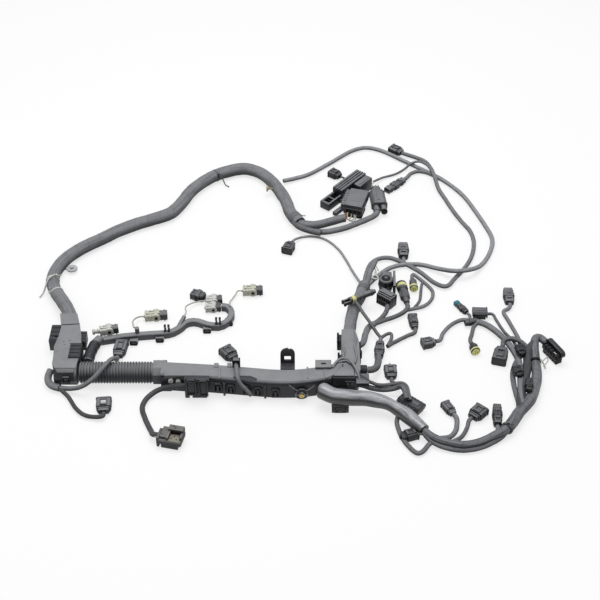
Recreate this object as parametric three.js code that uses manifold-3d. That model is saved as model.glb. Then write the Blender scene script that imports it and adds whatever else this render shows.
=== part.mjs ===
// A vehicle engine wiring harness, laid out on the floor: cable ducts, taped looms and their plugs.
// Millimetres. +X is to the right, +Y to the back, +Z up. The origin is on the flat base of the main duct.

import * as THREE from "three";
import { mergeVertices } from "three/addons/utils/BufferGeometryUtils.js";
import Module from "manifold-3d";

const wasm = await Module();
wasm.setup();

// Driving dimensions
const TOUCH = 0.3; // gap between two pieces that touch
const BITE = 1; // how far joined shapes of one piece reach into each other
const DUCT_HEIGHT = 32;
const DUCT_WIDTH = 25;
const COVER_THICK = 6;
const COVER_LIP = 0.6; // the cover is this much wider than the tray on each side
const CONDUIT_CENTRE = DUCT_HEIGHT / 2 - 0.5; // height of the conduit's axis
const CONDUIT_RADIUS = CONDUIT_CENTRE - TOUCH;
const CONDUIT_START = -229.2;
const CONDUIT_LENGTH = 101.7;
const RIB_PITCH = 3.98;
const RIB_DEPTH = 1.6;
const SLEEVE_DIAMETER = 22.6;
const RAIL_WIDTH = 9;
const RAIL_HEIGHT = 11;
const PLATE = 3; // thickness of small plates and tabs
const MOUTH_DEPTH = 3.5; // how far the face of the terminals lies inside a plug's mouth
const WALL = 1.5; // wall round a plug's mouth
const CHAMFER = 1.2;
const MOST_STEPS = 80;
const SLIVER = 0.05; // joins are cleaned of triangles thinner than this

const TRAY_HEIGHT = DUCT_HEIGHT - COVER_THICK - TOUCH;
const group = new THREE.Group();

// Colours and finishes
function material(color, roughness, metalness = 0) {
  return new THREE.MeshStandardMaterial({ color, roughness, metalness });
}

const FINISH = {
  cover: material(0x87878a, 0.55),
  tray: material(0x2f3134, 0.5),
  conduit: material(0x55565a, 0.5),
  sleeve: material(0x5c5d62, 0.25),
  loom: material(0x6b6c70, 0.75),
  lead: material(0x66676b, 0.7),
  blackPlug: material(0x3a3b3f, 0.5),
  greyPlug: material(0x6f7074, 0.5),
  palePlug: material(0xa9aaa6, 0.45),
  yellowPlug: material(0xdcd98c, 0.45),
  wire: material(0xc9cabf, 0.35),
  spring: material(0xb4b0a4, 0.35, 0.8),
};

// Solids and booleans
function solid(geometry) {
  const bare = geometry.clone();
  bare.deleteAttribute("normal");
  bare.deleteAttribute("uv");
  const merged = mergeVertices(bare, 1e-4);
  return new wasm.Manifold(new wasm.Mesh({
    numProp: 3,
    vertProperties: new Float32Array(merged.attributes.position.array),
    triVerts: new Uint32Array(merged.index.array),
  }));
}

function geometryOf(body) {
  const mesh = body.getMesh();
  const geometry = new THREE.BufferGeometry();
  geometry.setAttribute("position", new THREE.BufferAttribute(mesh.vertProperties, 3));
  geometry.setIndex(new THREE.BufferAttribute(mesh.triVerts, 1));
  geometry.computeVertexNormals();
  return geometry;
}

function joined(bodies) {
  return bodies.reduce((all, body) => all.add(body)).simplify(SLIVER);
}

// A box from its limits along X, Y and Z.
function block([x0, x1], [y0, y1], [z0, z1]) {
  const box = new THREE.BoxGeometry(x1 - x0, y1 - y0, z1 - z0);
  return solid(box.translate((x0 + x1) / 2, (y0 + y1) / 2, (z0 + z1) / 2));
}

// An upright prism with the given plan.
function prism(plan, z0, z1) {
  const outline = new THREE.Shape(plan.map(([x, y]) => new THREE.Vector2(x, y)));
  const shape = new THREE.ExtrudeGeometry(outline, { depth: z1 - z0, bevelEnabled: false });
  return solid(shape.translate(0, 0, z0));
}

// The corners of a rectangle with cut corners, standing on the height base.
function cutRectangle(width, height, cut = CHAMFER, base = 0) {
  const side = width / 2;
  const top = base + height;
  return [
    [cut - side, base], [side - cut, base], [side, base + cut], [side, top - cut],
    [side - cut, top], [cut - side, top], [-side, top - cut], [-side, base + cut],
  ];
}

// A bar along X with a section given as points across and up.
function bar(section, x0, x1) {
  const outline = new THREE.Shape(section.map(([y, z]) => new THREE.Vector2(y, z)));
  const shape = new THREE.ExtrudeGeometry(outline, { depth: x1 - x0, bevelEnabled: false });
  const turn = new THREE.Matrix4().makeBasis(
    new THREE.Vector3(0, 1, 0), new THREE.Vector3(0, 0, 1), new THREE.Vector3(1, 0, 0));
  return solid(shape.applyMatrix4(turn).translate(x0, 0, 0));
}

// A turned body along X at the height centre, from its radii at places along X.
function turned(profile, centre, sides = 14) {
  const ends = [[profile[0][0], 0], ...profile, [profile[profile.length - 1][0], 0]];
  const points = ends.map(([x, radius]) => new THREE.Vector2(radius, x));
  const shape = new THREE.LatheGeometry(points, sides).rotateZ(-Math.PI / 2);
  return solid(shape.translate(0, 0, centre));
}

function upright(x, y, radius, z0, z1, sides = 12) {
  const post = new THREE.CylinderGeometry(radius, radius, z1 - z0, sides).rotateX(Math.PI / 2);
  return solid(post.translate(x, y, (z0 + z1) / 2));
}

function pathThrough(points) {
  const corners = points.map((point) => new THREE.Vector3(...point));
  return new THREE.CatmullRomCurve3(corners, false, "centripetal");
}

// A cord through hand-set points, with a step every few diameters.
function tube(points, diameter, pitch = 2.8) {
  const path = pathThrough(points);
  const sides = diameter > 14 ? 12 : 8;
  const steps = Math.min(MOST_STEPS, Math.max(2, Math.ceil(path.getLength() / (pitch * diameter))));
  const corners = [...Array(sides).keys()].map((i) => {
    const angle = (2 * Math.PI * i) / sides;
    return new THREE.Vector2(0.5 * diameter * Math.cos(angle), 0.5 * diameter * Math.sin(angle));
  });
  const section = new THREE.Shape(corners);
  return solid(new THREE.ExtrudeGeometry(section, { steps, bevelEnabled: false, extrudePath: path }));
}

// A duct that follows a level path; the section is given as points across and up.
function ductAlong(section, route, steps) {
  const outline = new THREE.Shape(section.map(([across, up]) => new THREE.Vector2(-up, across)));
  const path = pathThrough(route.map(([x, y]) => [x, y, 0]));
  return solid(new THREE.ExtrudeGeometry(outline, { steps, bevelEnabled: false, extrudePath: path }));
}

function add(name, body, finish, at = [0, 0, 0], turn = 0) {
  const mesh = new THREE.Mesh(geometryOf(body), finish);
  mesh.name = name;
  mesh.position.set(...at);
  mesh.rotation.z = THREE.MathUtils.degToRad(turn);
  group.add(mesh);
}

// Left junction box: the trunk comes in at the back and the conduit leaves to the right.
const BOX_PLAN = [
  [-271, 122], [-246, 122], [-239, 97], [-234, 75], [-231, 52], [-231, 29], [-233.5, 7],
  [-262, 7], [-266.5, 16], [-267, 30], [-269, 52], [-266, 72], [-265, 92],
];
const LATCH_LEFT = { x: [-281, -265], y: [72, 106], z: [5, 24] };
const LATCH_RIGHT = { x: [-246, -230.3], y: [27, 56], z: [10, 34] };
const LATCH_BACK = { x: [-241, -229], y: [69, 92], z: [8, 24] };
const LATCH_RIBS = 4;
const ELBOW = { back: -264, step: 3, front: -235.5, lip: -230 };

// A ribbed latch: a plate with bars standing out on its top.
function latch({ x, y, z }) {
  const pitch = (y[1] - y[0]) / LATCH_RIBS;
  const bodies = [block(x, y, z)];
  for (let i = 0; i < LATCH_RIBS; i += 1) {
    const start = y[0] + (i + 0.2) * pitch;
    const rib = block([x[0] + BITE, x[1] - BITE], [start, start + 0.6 * pitch], [z[1] - BITE, z[1] + BITE]);
    bodies.push(rib);
  }
  return joined(bodies);
}

function junctionBox() {
  const latches = [latch(LATCH_LEFT), latch(LATCH_RIGHT), latch(LATCH_BACK)];
  const elbow = turned([[ELBOW.back, CONDUIT_RADIUS - CHAMFER], [ELBOW.back + ELBOW.step, CONDUIT_RADIUS],
    [ELBOW.front, CONDUIT_RADIUS]], CONDUIT_CENTRE, 16).translate([0, CONDUIT_CENTRE, 0]);
  const tray = prism(BOX_PLAN, 0, TRAY_HEIGHT).add(elbow);
  const room = block([LATCH_RIGHT.x[0] - TOUCH, LATCH_RIGHT.x[1]],
    [LATCH_RIGHT.y[0] - TOUCH, LATCH_RIGHT.y[1] + TOUCH], [0, DUCT_HEIGHT + BITE]);
  const elbowRoom = turned([[ELBOW.back - BITE, CONDUIT_CENTRE], [ELBOW.lip, CONDUIT_CENTRE]],
    CONDUIT_CENTRE, 16).translate([0, CONDUIT_CENTRE, 0]);
  const cover = prism(BOX_PLAN, DUCT_HEIGHT - COVER_THICK, DUCT_HEIGHT).subtract(room).subtract(elbowRoom);
  add("junction_box_tray", joined([tray, ...latches]), FINISH.tray);
  add("junction_box_cover", cover, FINISH.cover);
}

// Corrugated conduit between the box and the main duct.
function conduit() {
  const count = Math.floor(CONDUIT_LENGTH / RIB_PITCH);
  const profile = [[CONDUIT_START, CONDUIT_RADIUS - RIB_DEPTH]];
  for (let i = 0; i < count; i += 1) {
    profile.push([CONDUIT_START + (i + 0.25) * RIB_PITCH, CONDUIT_RADIUS]);
    profile.push([CONDUIT_START + (i + 0.75) * RIB_PITCH, CONDUIT_RADIUS - RIB_DEPTH]);
  }
  profile.push([CONDUIT_START + CONDUIT_LENGTH, CONDUIT_RADIUS - RIB_DEPTH]);
  const body = turned(profile, CONDUIT_CENTRE, 16);
  add("corrugated_conduit", body.translate([0, CONDUIT_CENTRE, 0]), FINISH.conduit);
}

// Main duct: a dark tray with a collar and clip frames, and a grey cover with a slotted tab.
const DUCT_ROUTE = [[-115, 8], [-85, 5], [-46, 2.5], [0, -3], [35, -7], [61, -8], [88, -5], [115, 1]];
const COLLAR = { x0: -127, x1: -110, width: 30, height: DUCT_HEIGHT - 0.6 };
const CLIP_FRAMES = [-82, -70, -58];
const CLIP_FRAME = { width: 6, front: -21, back: -4, height: DUCT_HEIGHT - 5 };
const LUGS = [-40, -22];
const TAB = { x: [96, 118], y: [4, 19], z: [DUCT_HEIGHT - 5, DUCT_HEIGHT + 4] };
const STRAPS = [-36, 84];

function mainDuct() {
  const route = ductAlong(cutRectangle(DUCT_WIDTH, TRAY_HEIGHT, 1.5), DUCT_ROUTE, 14);
  const collar = bar(cutRectangle(COLLAR.width, COLLAR.height, 8), COLLAR.x0, COLLAR.x1)
    .translate([0, CONDUIT_CENTRE, 0]);
  const neck = block([COLLAR.x1 - 6, COLLAR.x1 + 8], [-6, 18], [0, TRAY_HEIGHT]);
  const frames = CLIP_FRAMES.map((x) => block([x, x + CLIP_FRAME.width],
    [CLIP_FRAME.front, CLIP_FRAME.back], [2, CLIP_FRAME.height]));
  const rail = block([CLIP_FRAMES[0], CLIP_FRAMES[2] + CLIP_FRAME.width],
    [CLIP_FRAME.front + PLATE, CLIP_FRAME.back], [4, 9]);
  const coverBand = ductAlong(
    cutRectangle(DUCT_WIDTH + 2 * COVER_LIP, COVER_THICK, 2, DUCT_HEIGHT - COVER_THICK),
    DUCT_ROUTE, 14);
  const room = cutRectangle(DUCT_WIDTH + 4 * COVER_LIP, COVER_THICK + 2 * TOUCH, TOUCH, TRAY_HEIGHT);
  const coverRoom = ductAlong(room, [[-118, 8.2], ...DUCT_ROUTE.slice(1)], 14);
  const tray = joined([route, collar, neck, ...frames, rail]).subtract(coverRoom);
  add("duct_tray", tray, FINISH.tray);

  const straps = STRAPS.map((x) => block([x, x + 2.5], [-14, 8], [DUCT_HEIGHT - BITE, DUCT_HEIGHT + BITE]));
  const lugs = LUGS.map((x) => block([x - 3, x + 3], [8, 16], [DUCT_HEIGHT - 5, DUCT_HEIGHT + BITE]));
  const tab = block(TAB.x, TAB.y, TAB.z);
  const slot = block([TAB.x[0] + 8, TAB.x[0] + 15], [TAB.y[0] + 6, TAB.y[0] + 9],
    [TAB.z[1] - 3, TAB.z[1] + BITE]);
  add("duct_cover", joined([coverBand, ...straps, ...lugs, tab]).subtract(slot), FINISH.cover);
}

// Fixing bracket with a rectangular hole, standing on a flange behind the duct.
const BRACKET = { x: [48, 68], flange: [6, 21], plate: [18, 21], foot: [0, DUCT_HEIGHT - 1], top: 57 };
const BRACKET_HOLE = { x: [53.5, 62.5], z: [35.5, 43.5] };

function bracket() {
  const [left, right] = BRACKET.x;
  const middle = (left + right) / 2;
  const radius = (right - left) / 2;
  const dome = new THREE.CylinderGeometry(radius, radius, PLATE, 16);
  dome.translate(middle, (BRACKET.plate[0] + BRACKET.plate[1]) / 2, BRACKET.top - radius);
  const notch = block([middle + 1, middle + 4], [15, 24], [BRACKET.top - 2, BRACKET.top + 2]);
  const flange = block(BRACKET.x, BRACKET.flange, [BRACKET.foot[1] - PLATE, BRACKET.foot[1]]);
  const wall = block(BRACKET.x, BRACKET.plate, [BRACKET.foot[1] - PLATE, BRACKET.top - radius]);
  const leg = block([left + 4, right - 4], [BRACKET.plate[0], BRACKET.plate[1]], [0, BRACKET.foot[1]]);
  const hole = block(BRACKET_HOLE.x, [15, 24], BRACKET_HOLE.z);
  const body = joined([solid(dome), flange, wall, leg]).subtract(hole).subtract(notch);
  add("fixing_bracket", body, FINISH.tray);
}

// Spring clip: a bent wire that holds a stud on the front of the duct.
const SPRING_WIRE = 2;
const SPRING_TOP = DUCT_HEIGHT - 4;
const SPRING_ROUTE = [
  [60, -22, SPRING_TOP], [68, -24.5, 22], [73, -25.5, 19], [69, -25.5, 15], [70, -25.5, 8], [77, -25.5, 5],
  [84, -25.5, 8], [86, -25.5, 15], [82, -25.5, 19], [87, -25, 22], [95, -23, SPRING_TOP],
];
const STUD = { x: 77.5, z: 12.5, radius: 5, back: -21.3, front: -27 };

function springClip() {
  const stud = new THREE.CylinderGeometry(STUD.radius, STUD.radius, STUD.back - STUD.front, 14);
  const boss = solid(stud.translate(STUD.x, (STUD.back + STUD.front) / 2, STUD.z));
  const cross = block([68.5, 86.5], [-26.3, -24.7], [STUD.z - 0.8, STUD.z + 0.8]);
  add("spring_clip", joined([tube(SPRING_ROUTE, SPRING_WIRE, 2.5), boss, cross]), FINISH.spring);
}

// Junction at the right end of the duct: it turns back to the centre loom.
const TEE_PLAN = [
  [134, 87], [153, 87], [158, 62], [158, 5], [154, -9], [118.6, -9], [118.6, 14], [124, 16],
  [133, 27], [133, 54],
];
const TEE_FOOT = { x: [118, 141], y: [-48, -6], z: [0, 10] };
const TEE_CAP = { x0: 155, x1: 168.5, y: 20, z: 16, radius: 7 };
const TEE_LID = { x: [152, 169], y: [-20, 0], z: [24, 28] };
const TEE_LATCHES = [[129, 78], [129, 36]];
const TEE_RECESS = { x: [120, 150], y: [-10, 14], depth: 3 };
const ARCH = { width: 4, route: [[121.5, 13, -1], [131, 19, 1], [141, 19, 2], [149, 8, 1], [153, -5, -1]] };

function teeJunction() {
  const cap = turned([[TEE_CAP.x0 - 2, TEE_CAP.radius], [TEE_CAP.x1 - 1.5, TEE_CAP.radius],
    [TEE_CAP.x1, TEE_CAP.radius - 1.5]], TEE_CAP.z).translate([0, TEE_CAP.y, 0]);
  const foot = block(TEE_FOOT.x, TEE_FOOT.y, TEE_FOOT.z);
  const lid = block(TEE_LID.x, TEE_LID.y, [TEE_LID.z[0] - 3, TRAY_HEIGHT]);
  const latches = TEE_LATCHES.map(([x, y]) => block([x, x + 6], [y - 7, y + 7], [6, 24]));
  const tray = joined([prism(TEE_PLAN, 0, TRAY_HEIGHT), cap, foot, lid, ...latches]);
  const cover = prism(TEE_PLAN, DUCT_HEIGHT - COVER_THICK, DUCT_HEIGHT);
  const recess = block(TEE_RECESS.x, TEE_RECESS.y, [DUCT_HEIGHT - TEE_RECESS.depth, DUCT_HEIGHT + BITE]);
  const arch = tube(ARCH.route.map(([x, y, above]) => [x, y, DUCT_HEIGHT + above]), ARCH.width);
  add("tee_tray", tray, FINISH.tray);
  add("tee_cover", joined([cover.subtract(recess), arch]), FINISH.cover);
}

// Glossy sleeve in front of the junction, with a domed blind end.
const SLEEVE_ROUTE = [
  [106, -30, 24], [120, -38, 23], [142, -41, 21.5], [167, -43, 19], [191, -49, 16], [209, -59, 13.5],
  [224, -74, 12.5], [239, -92, 12],
];

function sleeve() {
  const dome = new THREE.SphereGeometry(SLEEVE_DIAMETER / 2, 12, 6);
  const end = solid(dome.translate(...SLEEVE_ROUTE[0]));
  add("cable_sleeve", joined([tube(SLEEVE_ROUTE, SLEEVE_DIAMETER, 0.8), end]), FINISH.sleeve);
}

// Thin duct for the coil plugs, with posts and side clips, and the tube that feeds it.
const RAIL_ROUTE = [
  [-213, 91], [-179, 99], [-142, 104], [-112, 108], [-99, 119], [-91, 130], [-78, 133], [-59, 125],
  [-44, 123], [-33, 130], [-26, 144], [-27, 157], [-34, 166], [-40.6, 167],
];
const LINK_ROUTE = [[-222.4, 40, 12], [-221, 62, 11], [-217, 82, 9.5], [-212, 91.5, 8.5]];
const SIDE_CLIPS = [[-164, 95], [-127, 101], [-60, 121], [-29, 137]];
const FORKS = [[-117, 108], [-44, 124]];
const POST = { x: -159.5, y: 104, radius: 3.2, top: 20 };
const SPUR = { diameter: 6.5, route: [[-103, 117, 7], [-98, 127, 11], [-94, 137, 13]] };
const LINK_DIAMETER = 15;

// Two upright tines that hold a wire.
function fork([x, y]) {
  return joined([-2.6, 2.6].map((shift) => block([x + shift - 1, x + shift + 1], [y - 3, y + 3],
    [RAIL_HEIGHT - BITE, RAIL_HEIGHT + 9])));
}

function coilRail() {
  const section = cutRectangle(RAIL_WIDTH, RAIL_HEIGHT, 1);
  const link = tube(LINK_ROUTE, LINK_DIAMETER, 1);
  const clips = SIDE_CLIPS.map(([x, y]) => block([x - 6, x + 6], [y - 6.5, y + 5], [1, 6]));
  const post = upright(POST.x, POST.y, POST.radius, RAIL_HEIGHT - BITE, POST.top);
  const spur = tube(SPUR.route, SPUR.diameter, 1);
  const bodies = [ductAlong(section, RAIL_ROUTE, 32), link, post, spur, ...clips, ...FORKS.map(fork)];
  add("coil_rail", joined(bodies), FINISH.cover);
}

// Plug shapes: the rear, where the cable comes in, is at x = 0 and the mouth looks along +X.
function socketPlug({ length, width, height }) {
  const shellHeight = 0.86 * height;
  const shell = bar(cutRectangle(width, shellHeight), 0.3 * length, length);
  const rear = bar(cutRectangle(0.76 * width, 0.6 * height, CHAMFER, 0.12 * height), 0, 0.3 * length + BITE);
  const gripSection = cutRectangle(width + 2, 0.5 * height, CHAMFER, 0.15 * height);
  const grip = bar(gripSection, 0.5 * length, 0.62 * length);
  const latchBar = block([0.34 * length, 0.9 * length], [-0.2 * width, 0.2 * width],
    [shellHeight - BITE, height]);
  const mouth = block([length - MOUTH_DEPTH, length + BITE], [WALL - width / 2, width / 2 - WALL],
    [WALL, shellHeight - WALL]);
  return joined([shell, rear, grip, latchBar]).subtract(mouth);
}

// Two plugs pushed together, with a collar between them.
function inlinePlug({ length, width, height }) {
  const rear = bar(cutRectangle(0.8 * width, 0.72 * height, CHAMFER, 0.1 * height), 0, 0.45 * length);
  const collar = bar(cutRectangle(width, 0.88 * height), 0.4 * length, 0.66 * length);
  const nose = bar(cutRectangle(0.86 * width, 0.76 * height, CHAMFER, 0.05 * height), 0.6 * length, length);
  const clip = block([0.2 * length, 0.72 * length], [-0.18 * width, 0.18 * width], [0.7 * height, height]);
  return joined([rear, collar, nose, clip]);
}

// A plug for an ignition coil: a block with a lock, a drum across it and a narrower nose.
function coilPlug({ length, width, height }) {
  const rear = bar(cutRectangle(width, 0.86 * height, CHAMFER, 0.04 * height), 0, 0.46 * length);
  const drum = new THREE.CylinderGeometry(0.46 * height, 0.46 * height, width + 1.5, 14);
  const drumBody = solid(drum.translate(0.52 * length, 0, 0.5 * height));
  const nose = bar(cutRectangle(0.84 * width, 0.8 * height, CHAMFER, 0.06 * height), 0.5 * length, length);
  const lock = block([0.1 * length, 0.7 * length], [-0.22 * width, 0.22 * width], [0.8 * height, height]);
  const mouth = block([length - MOUTH_DEPTH, length + BITE], [WALL - 0.42 * width, 0.42 * width - WALL],
    [0.2 * height, 0.72 * height]);
  return joined([rear, drumBody, nose, lock]).subtract(mouth);
}

function roundPlug({ length, width }) {
  const radius = width / 2;
  const body = turned([[0, 0.55 * radius], [0.2 * length, 0.62 * radius], [0.26 * length, 0.86 * radius],
    [0.6 * length, 0.86 * radius], [0.62 * length, radius], [0.8 * length, radius],
    [0.82 * length, 0.84 * radius], [length, 0.84 * radius]], radius);
  const mouth = turned([[length - MOUTH_DEPTH, 0.62 * radius], [length + BITE, 0.62 * radius]], radius);
  return body.subtract(mouth);
}

// A slim rod-like plug with a ring round it and a forked end.
function rodPlug({ length, width, height }) {
  const shaft = bar(cutRectangle(0.8 * width, 0.8 * height, CHAMFER, 0.1 * height), 0.2 * length, length);
  const ring = bar(cutRectangle(width, height), 0.26 * length, 0.38 * length);
  const tines = [-0.32, 0.32].map((side) => block([0, 0.22 * length],
    [side * width - 1.2, side * width + 1.2], [0.25 * height, 0.75 * height]));
  return joined([shaft, ring, ...tines]);
}

// A long multi-way plug with a cover over its cables and ribs along its back.
function controlPlug({ length, width, height }) {
  const hood = bar(cutRectangle(width, 0.62 * height, 2, 0.38 * height), 0, length);
  const base = bar(cutRectangle(0.8 * width, 0.5 * height, CHAMFER), 0.12 * length, 0.94 * length);
  const ribs = [0.3, 0.5, 0.7].map((place) => block([place * length - 1, place * length + 1],
    [-0.54 * width, 0.54 * width], [0.5 * height, 0.86 * height]));
  return joined([hood, base, ...ribs]);
}

// A wide plug with a pull lever: cells at the front, a hood behind it and a mate on its nose.
function leverPlug({ length, width, height }) {
  const cells = block([0, 0.2 * length], [-width / 2, width / 2], [0, 0.8 * height]);
  const hood = bar(cutRectangle(0.86 * width, 0.9 * height, 2), 0.2 * length - BITE, 0.6 * length);
  const mate = block([0.5 * length, length], [-0.36 * width, 0.36 * width], [0.55 * height, 1.3 * height]);
  const arms = [-1, 1].map((side) => block([0.12 * length, 0.7 * length],
    [side * 0.47 * width - 1.5, side * 0.47 * width + 1.5], [0.35 * height, 0.6 * height]));
  const slots = [0, 1, 2, 3].map((i) => block([-BITE, 1.6],
    [(0.08 + 0.22 * i - 0.5) * width, (0.22 + 0.22 * i - 0.5) * width], [0.15 * height, 0.62 * height]));
  return slots.reduce((body, slot) => body.subtract(slot), joined([cells, hood, mate, ...arms]));
}

// Every plug: its shape, its rear on the floor, the way it looks in degrees, and its size.
const PLUGS = {
  cam_plug: { shape: socketPlug, at: [252, 580, 0], turn: 141, size: [24, 18, 14] },
  inline_plug: { shape: inlinePlug, at: [250, 499, 0], turn: -134, size: [44, 14, 12] },
  relay_side_plug: { shape: socketPlug, at: [143, 508, 0], turn: 141, size: [21, 17, 14] },
  knock_plug: { shape: socketPlug, at: [62, 322, 0], turn: -111, size: [23, 17, 15] },
  upright_plug: { shape: inlinePlug, at: [236, 284.5, 0], turn: 88, size: [33, 17, 15] },
  coupling_plug: { shape: inlinePlug, at: [190, 87, 0], turn: -97, size: [29, 14, 14] },
  sensor_plug_rear: { shape: socketPlug, at: [242, 119, 0], turn: 94, size: [28, 13, 13] },
  tipped_plug: { shape: socketPlug, at: [202, 14, 0], turn: 92, size: [22, 17, 14] },
  sleeve_side_plug: { shape: controlPlug, at: [212, -27, 0], turn: -41, size: [36, 19, 15] },
  slim_plug: { shape: socketPlug, at: [282, -56, 0], turn: 116, size: [24, 13, 12] },
  flat_plug: { shape: socketPlug, at: [306, -63, 0], turn: 47, size: [24, 20, 14] },
  trunk_side_plug: { shape: inlinePlug, at: [338.5, -78, 0], turn: 85, size: [36, 13, 15] },
  split_plug: { shape: socketPlug, at: [269, 90, 0], turn: -165, size: [20, 16, 14] },
  yellow_tip_plug: { shape: roundPlug, at: [321, 84, 0], turn: -77, size: [18, 14, 14] },
  teal_tip_plug: { shape: inlinePlug, at: [321.5, 155, 0], turn: 121, size: [28, 10, 10] },
  wide_plug: { shape: controlPlug, at: [351, 150, 0], turn: 177, size: [22.5, 16, 15] },
  control_plug: { shape: controlPlug, at: [426.8, 81, 0], turn: -62, size: [38, 18, 24] },
  stepped_plug: { shape: inlinePlug, at: [387, 175, 0], turn: 88, size: [32, 16, 13] },
  cluster_plug: { shape: socketPlug, at: [363, 74, 0], turn: -106, size: [30, 20, 17] },
  open_plug: { shape: socketPlug, at: [-190, -53, 0], turn: 95, size: [25, 20, 14] },
  conduit_side_plug: { shape: socketPlug, at: [-183, 58, 0], turn: 84, size: [31, 18, 14] },
  main_plug: { shape: leverPlug, at: [-112, -99, 0], turn: -13, size: [34, 24, 22] },
  duct_side_plug: { shape: socketPlug, at: [-18, 54, 0], turn: 127, size: [25, 20, 14] },
  coil_plug_1: { shape: coilPlug, at: [-214.4, 102.6, 8], turn: 13, size: [28, 12, 14] },
  coil_plug_2: { shape: coilPlug, at: [-154, 145, 0], turn: 6, size: [34, 14, 14] },
  coil_plug_3: { shape: coilPlug, at: [-88, 197, 0], turn: -24, size: [22, 14, 14] },
  coil_plug_4: { shape: coilPlug, at: [-66, 181.1, 0], turn: 7, size: [25, 14, 13] },
  coil_plug_5: { shape: coilPlug, at: [-66, 165.8, 0], turn: 3, size: [24, 14, 12] },
  coil_plug_6: { shape: coilPlug, at: [-12, 204, 0], turn: 2, size: [31, 14, 14] },
  lever_plug: { shape: leverPlug, at: [204, 165, 0], turn: 88, size: [70, 26, 21] },
  ring_plug: { shape: roundPlug, at: [234, 172, 0], turn: 98, size: [46, 17, 17] },
  yellow_plug: { shape: roundPlug, at: [246, 233, 0], turn: -88, size: [25, 13, 13] },
  rod_plug: { shape: rodPlug, at: [138, 151, 20.5], turn: 31, size: [56, 10, 11] },
};

const PALE = /^coil_plug/;
const GREY = /^(conduit_side|main|split|inline|upright|open|slim|cam|stepped|tipped|rod|lever)_plug$/;

function plugFinish(name) {
  if (name === "yellow_plug") return FINISH.yellowPlug;
  if (PALE.test(name)) return FINISH.palePlug;
  return GREY.test(name) ? FINISH.greyPlug : FINISH.blackPlug;
}

function plugs() {
  for (const [name, { shape, at, turn, size: [length, width, height] }] of Object.entries(PLUGS)) {
    add(name, shape({ length, width, height }), plugFinish(name), at, turn);
  }
}

// The last two points of a cord that runs square into a plug's rear, a touch gap short of it.
function into(name, rise = 0.45) {
  const { at, turn, size } = PLUGS[name];
  const angle = THREE.MathUtils.degToRad(turn);
  return [7, TOUCH].map((gap) => [
    at[0] - gap * Math.cos(angle),
    at[1] - gap * Math.sin(angle),
    at[2] + rise * size[2],
  ]);
}

// Fuse holder, relay and twin boot at the top.
const HOLDER_AT = [115, 419, 0];
const HOLDER_TURN = 51;
const HOLDER = { length: 100, width: 19, height: 24 };

function fuseHolder() {
  const rail = bar(cutRectangle(HOLDER.width, HOLDER.height, 1.5), 34, HOLDER.length);
  const grooves = [-4.5, 0, 4.5].map((y) => block([30, HOLDER.length + BITE], [y - 0.7, y + 0.7],
    [HOLDER.height - 1.5, HOLDER.height + BITE]));
  const sideBars = [[-9, -5.5], [5.5, 9]].map((y) => block([0, 36], y, [2, 15]));
  const ends = [[0, 5], [17, 20]].map((x) => block(x, [-9, 9], [2, 15]));
  const arm = block([-4, 40], [-27, -20], [2, 8.6]);
  const bridge = block([30, 40], [-26, -5], [2, 8.6]);
  const second = bar(cutRectangle(13, HOLDER.height, 1.5), 62, 96).translate([0, -19, 0]);
  const link = block([70, 90], [-14, -7], [0, 18]);
  const body = joined([rail, ...sideBars, ...ends, arm, bridge, second, link]);
  const cut = grooves.reduce((all, groove) => all.subtract(groove), body);
  add("fuse_holder", cut, FINISH.greyPlug, HOLDER_AT, HOLDER_TURN);
}

const RELAY = { at: [160, 394, 0], turn: 74, length: 48, width: 31, height: 27 };

function relay() {
  const base = bar(cutRectangle(RELAY.width - 9, 11, 1), 4, 24);
  const cube = bar(cutRectangle(RELAY.width, RELAY.height - 9, 1.5, 9), 0, RELAY.length);
  const fin = block([2, RELAY.length - 4], [RELAY.width / 2 - BITE, RELAY.width / 2 + 4.5], [12, 25]);
  add("relay", joined([base, cube, fin]), FINISH.greyPlug, RELAY.at, RELAY.turn);
}

// Oval housing with two tube stubs; its rear with the stubs looks to the front.
const BOOT = { at: [205, 416, 0], turn: 95, length: 50, width: 25, height: 18, stub: 10 };

function twinBoot() {
  const shell = bar(cutRectangle(BOOT.width, BOOT.height, 5), 0, BOOT.length - 12);
  const nose = bar(cutRectangle(BOOT.width - 9, BOOT.height - 3, 4, 1), BOOT.length - 13, BOOT.length);
  const stubs = [[-6, 14], [6, 2]].map(([y, reach]) => turned([[-reach, BOOT.stub / 2],
    [BITE, BOOT.stub / 2]], 9).translate([0, y, 0]));
  const bore = turned([[-15, 3.4], [-11, 3.4]], 9).translate([0, -6, 0]);
  add("twin_boot", joined([shell, nose, ...stubs]).subtract(bore), FINISH.blackPlug, BOOT.at, BOOT.turn);
}

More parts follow.
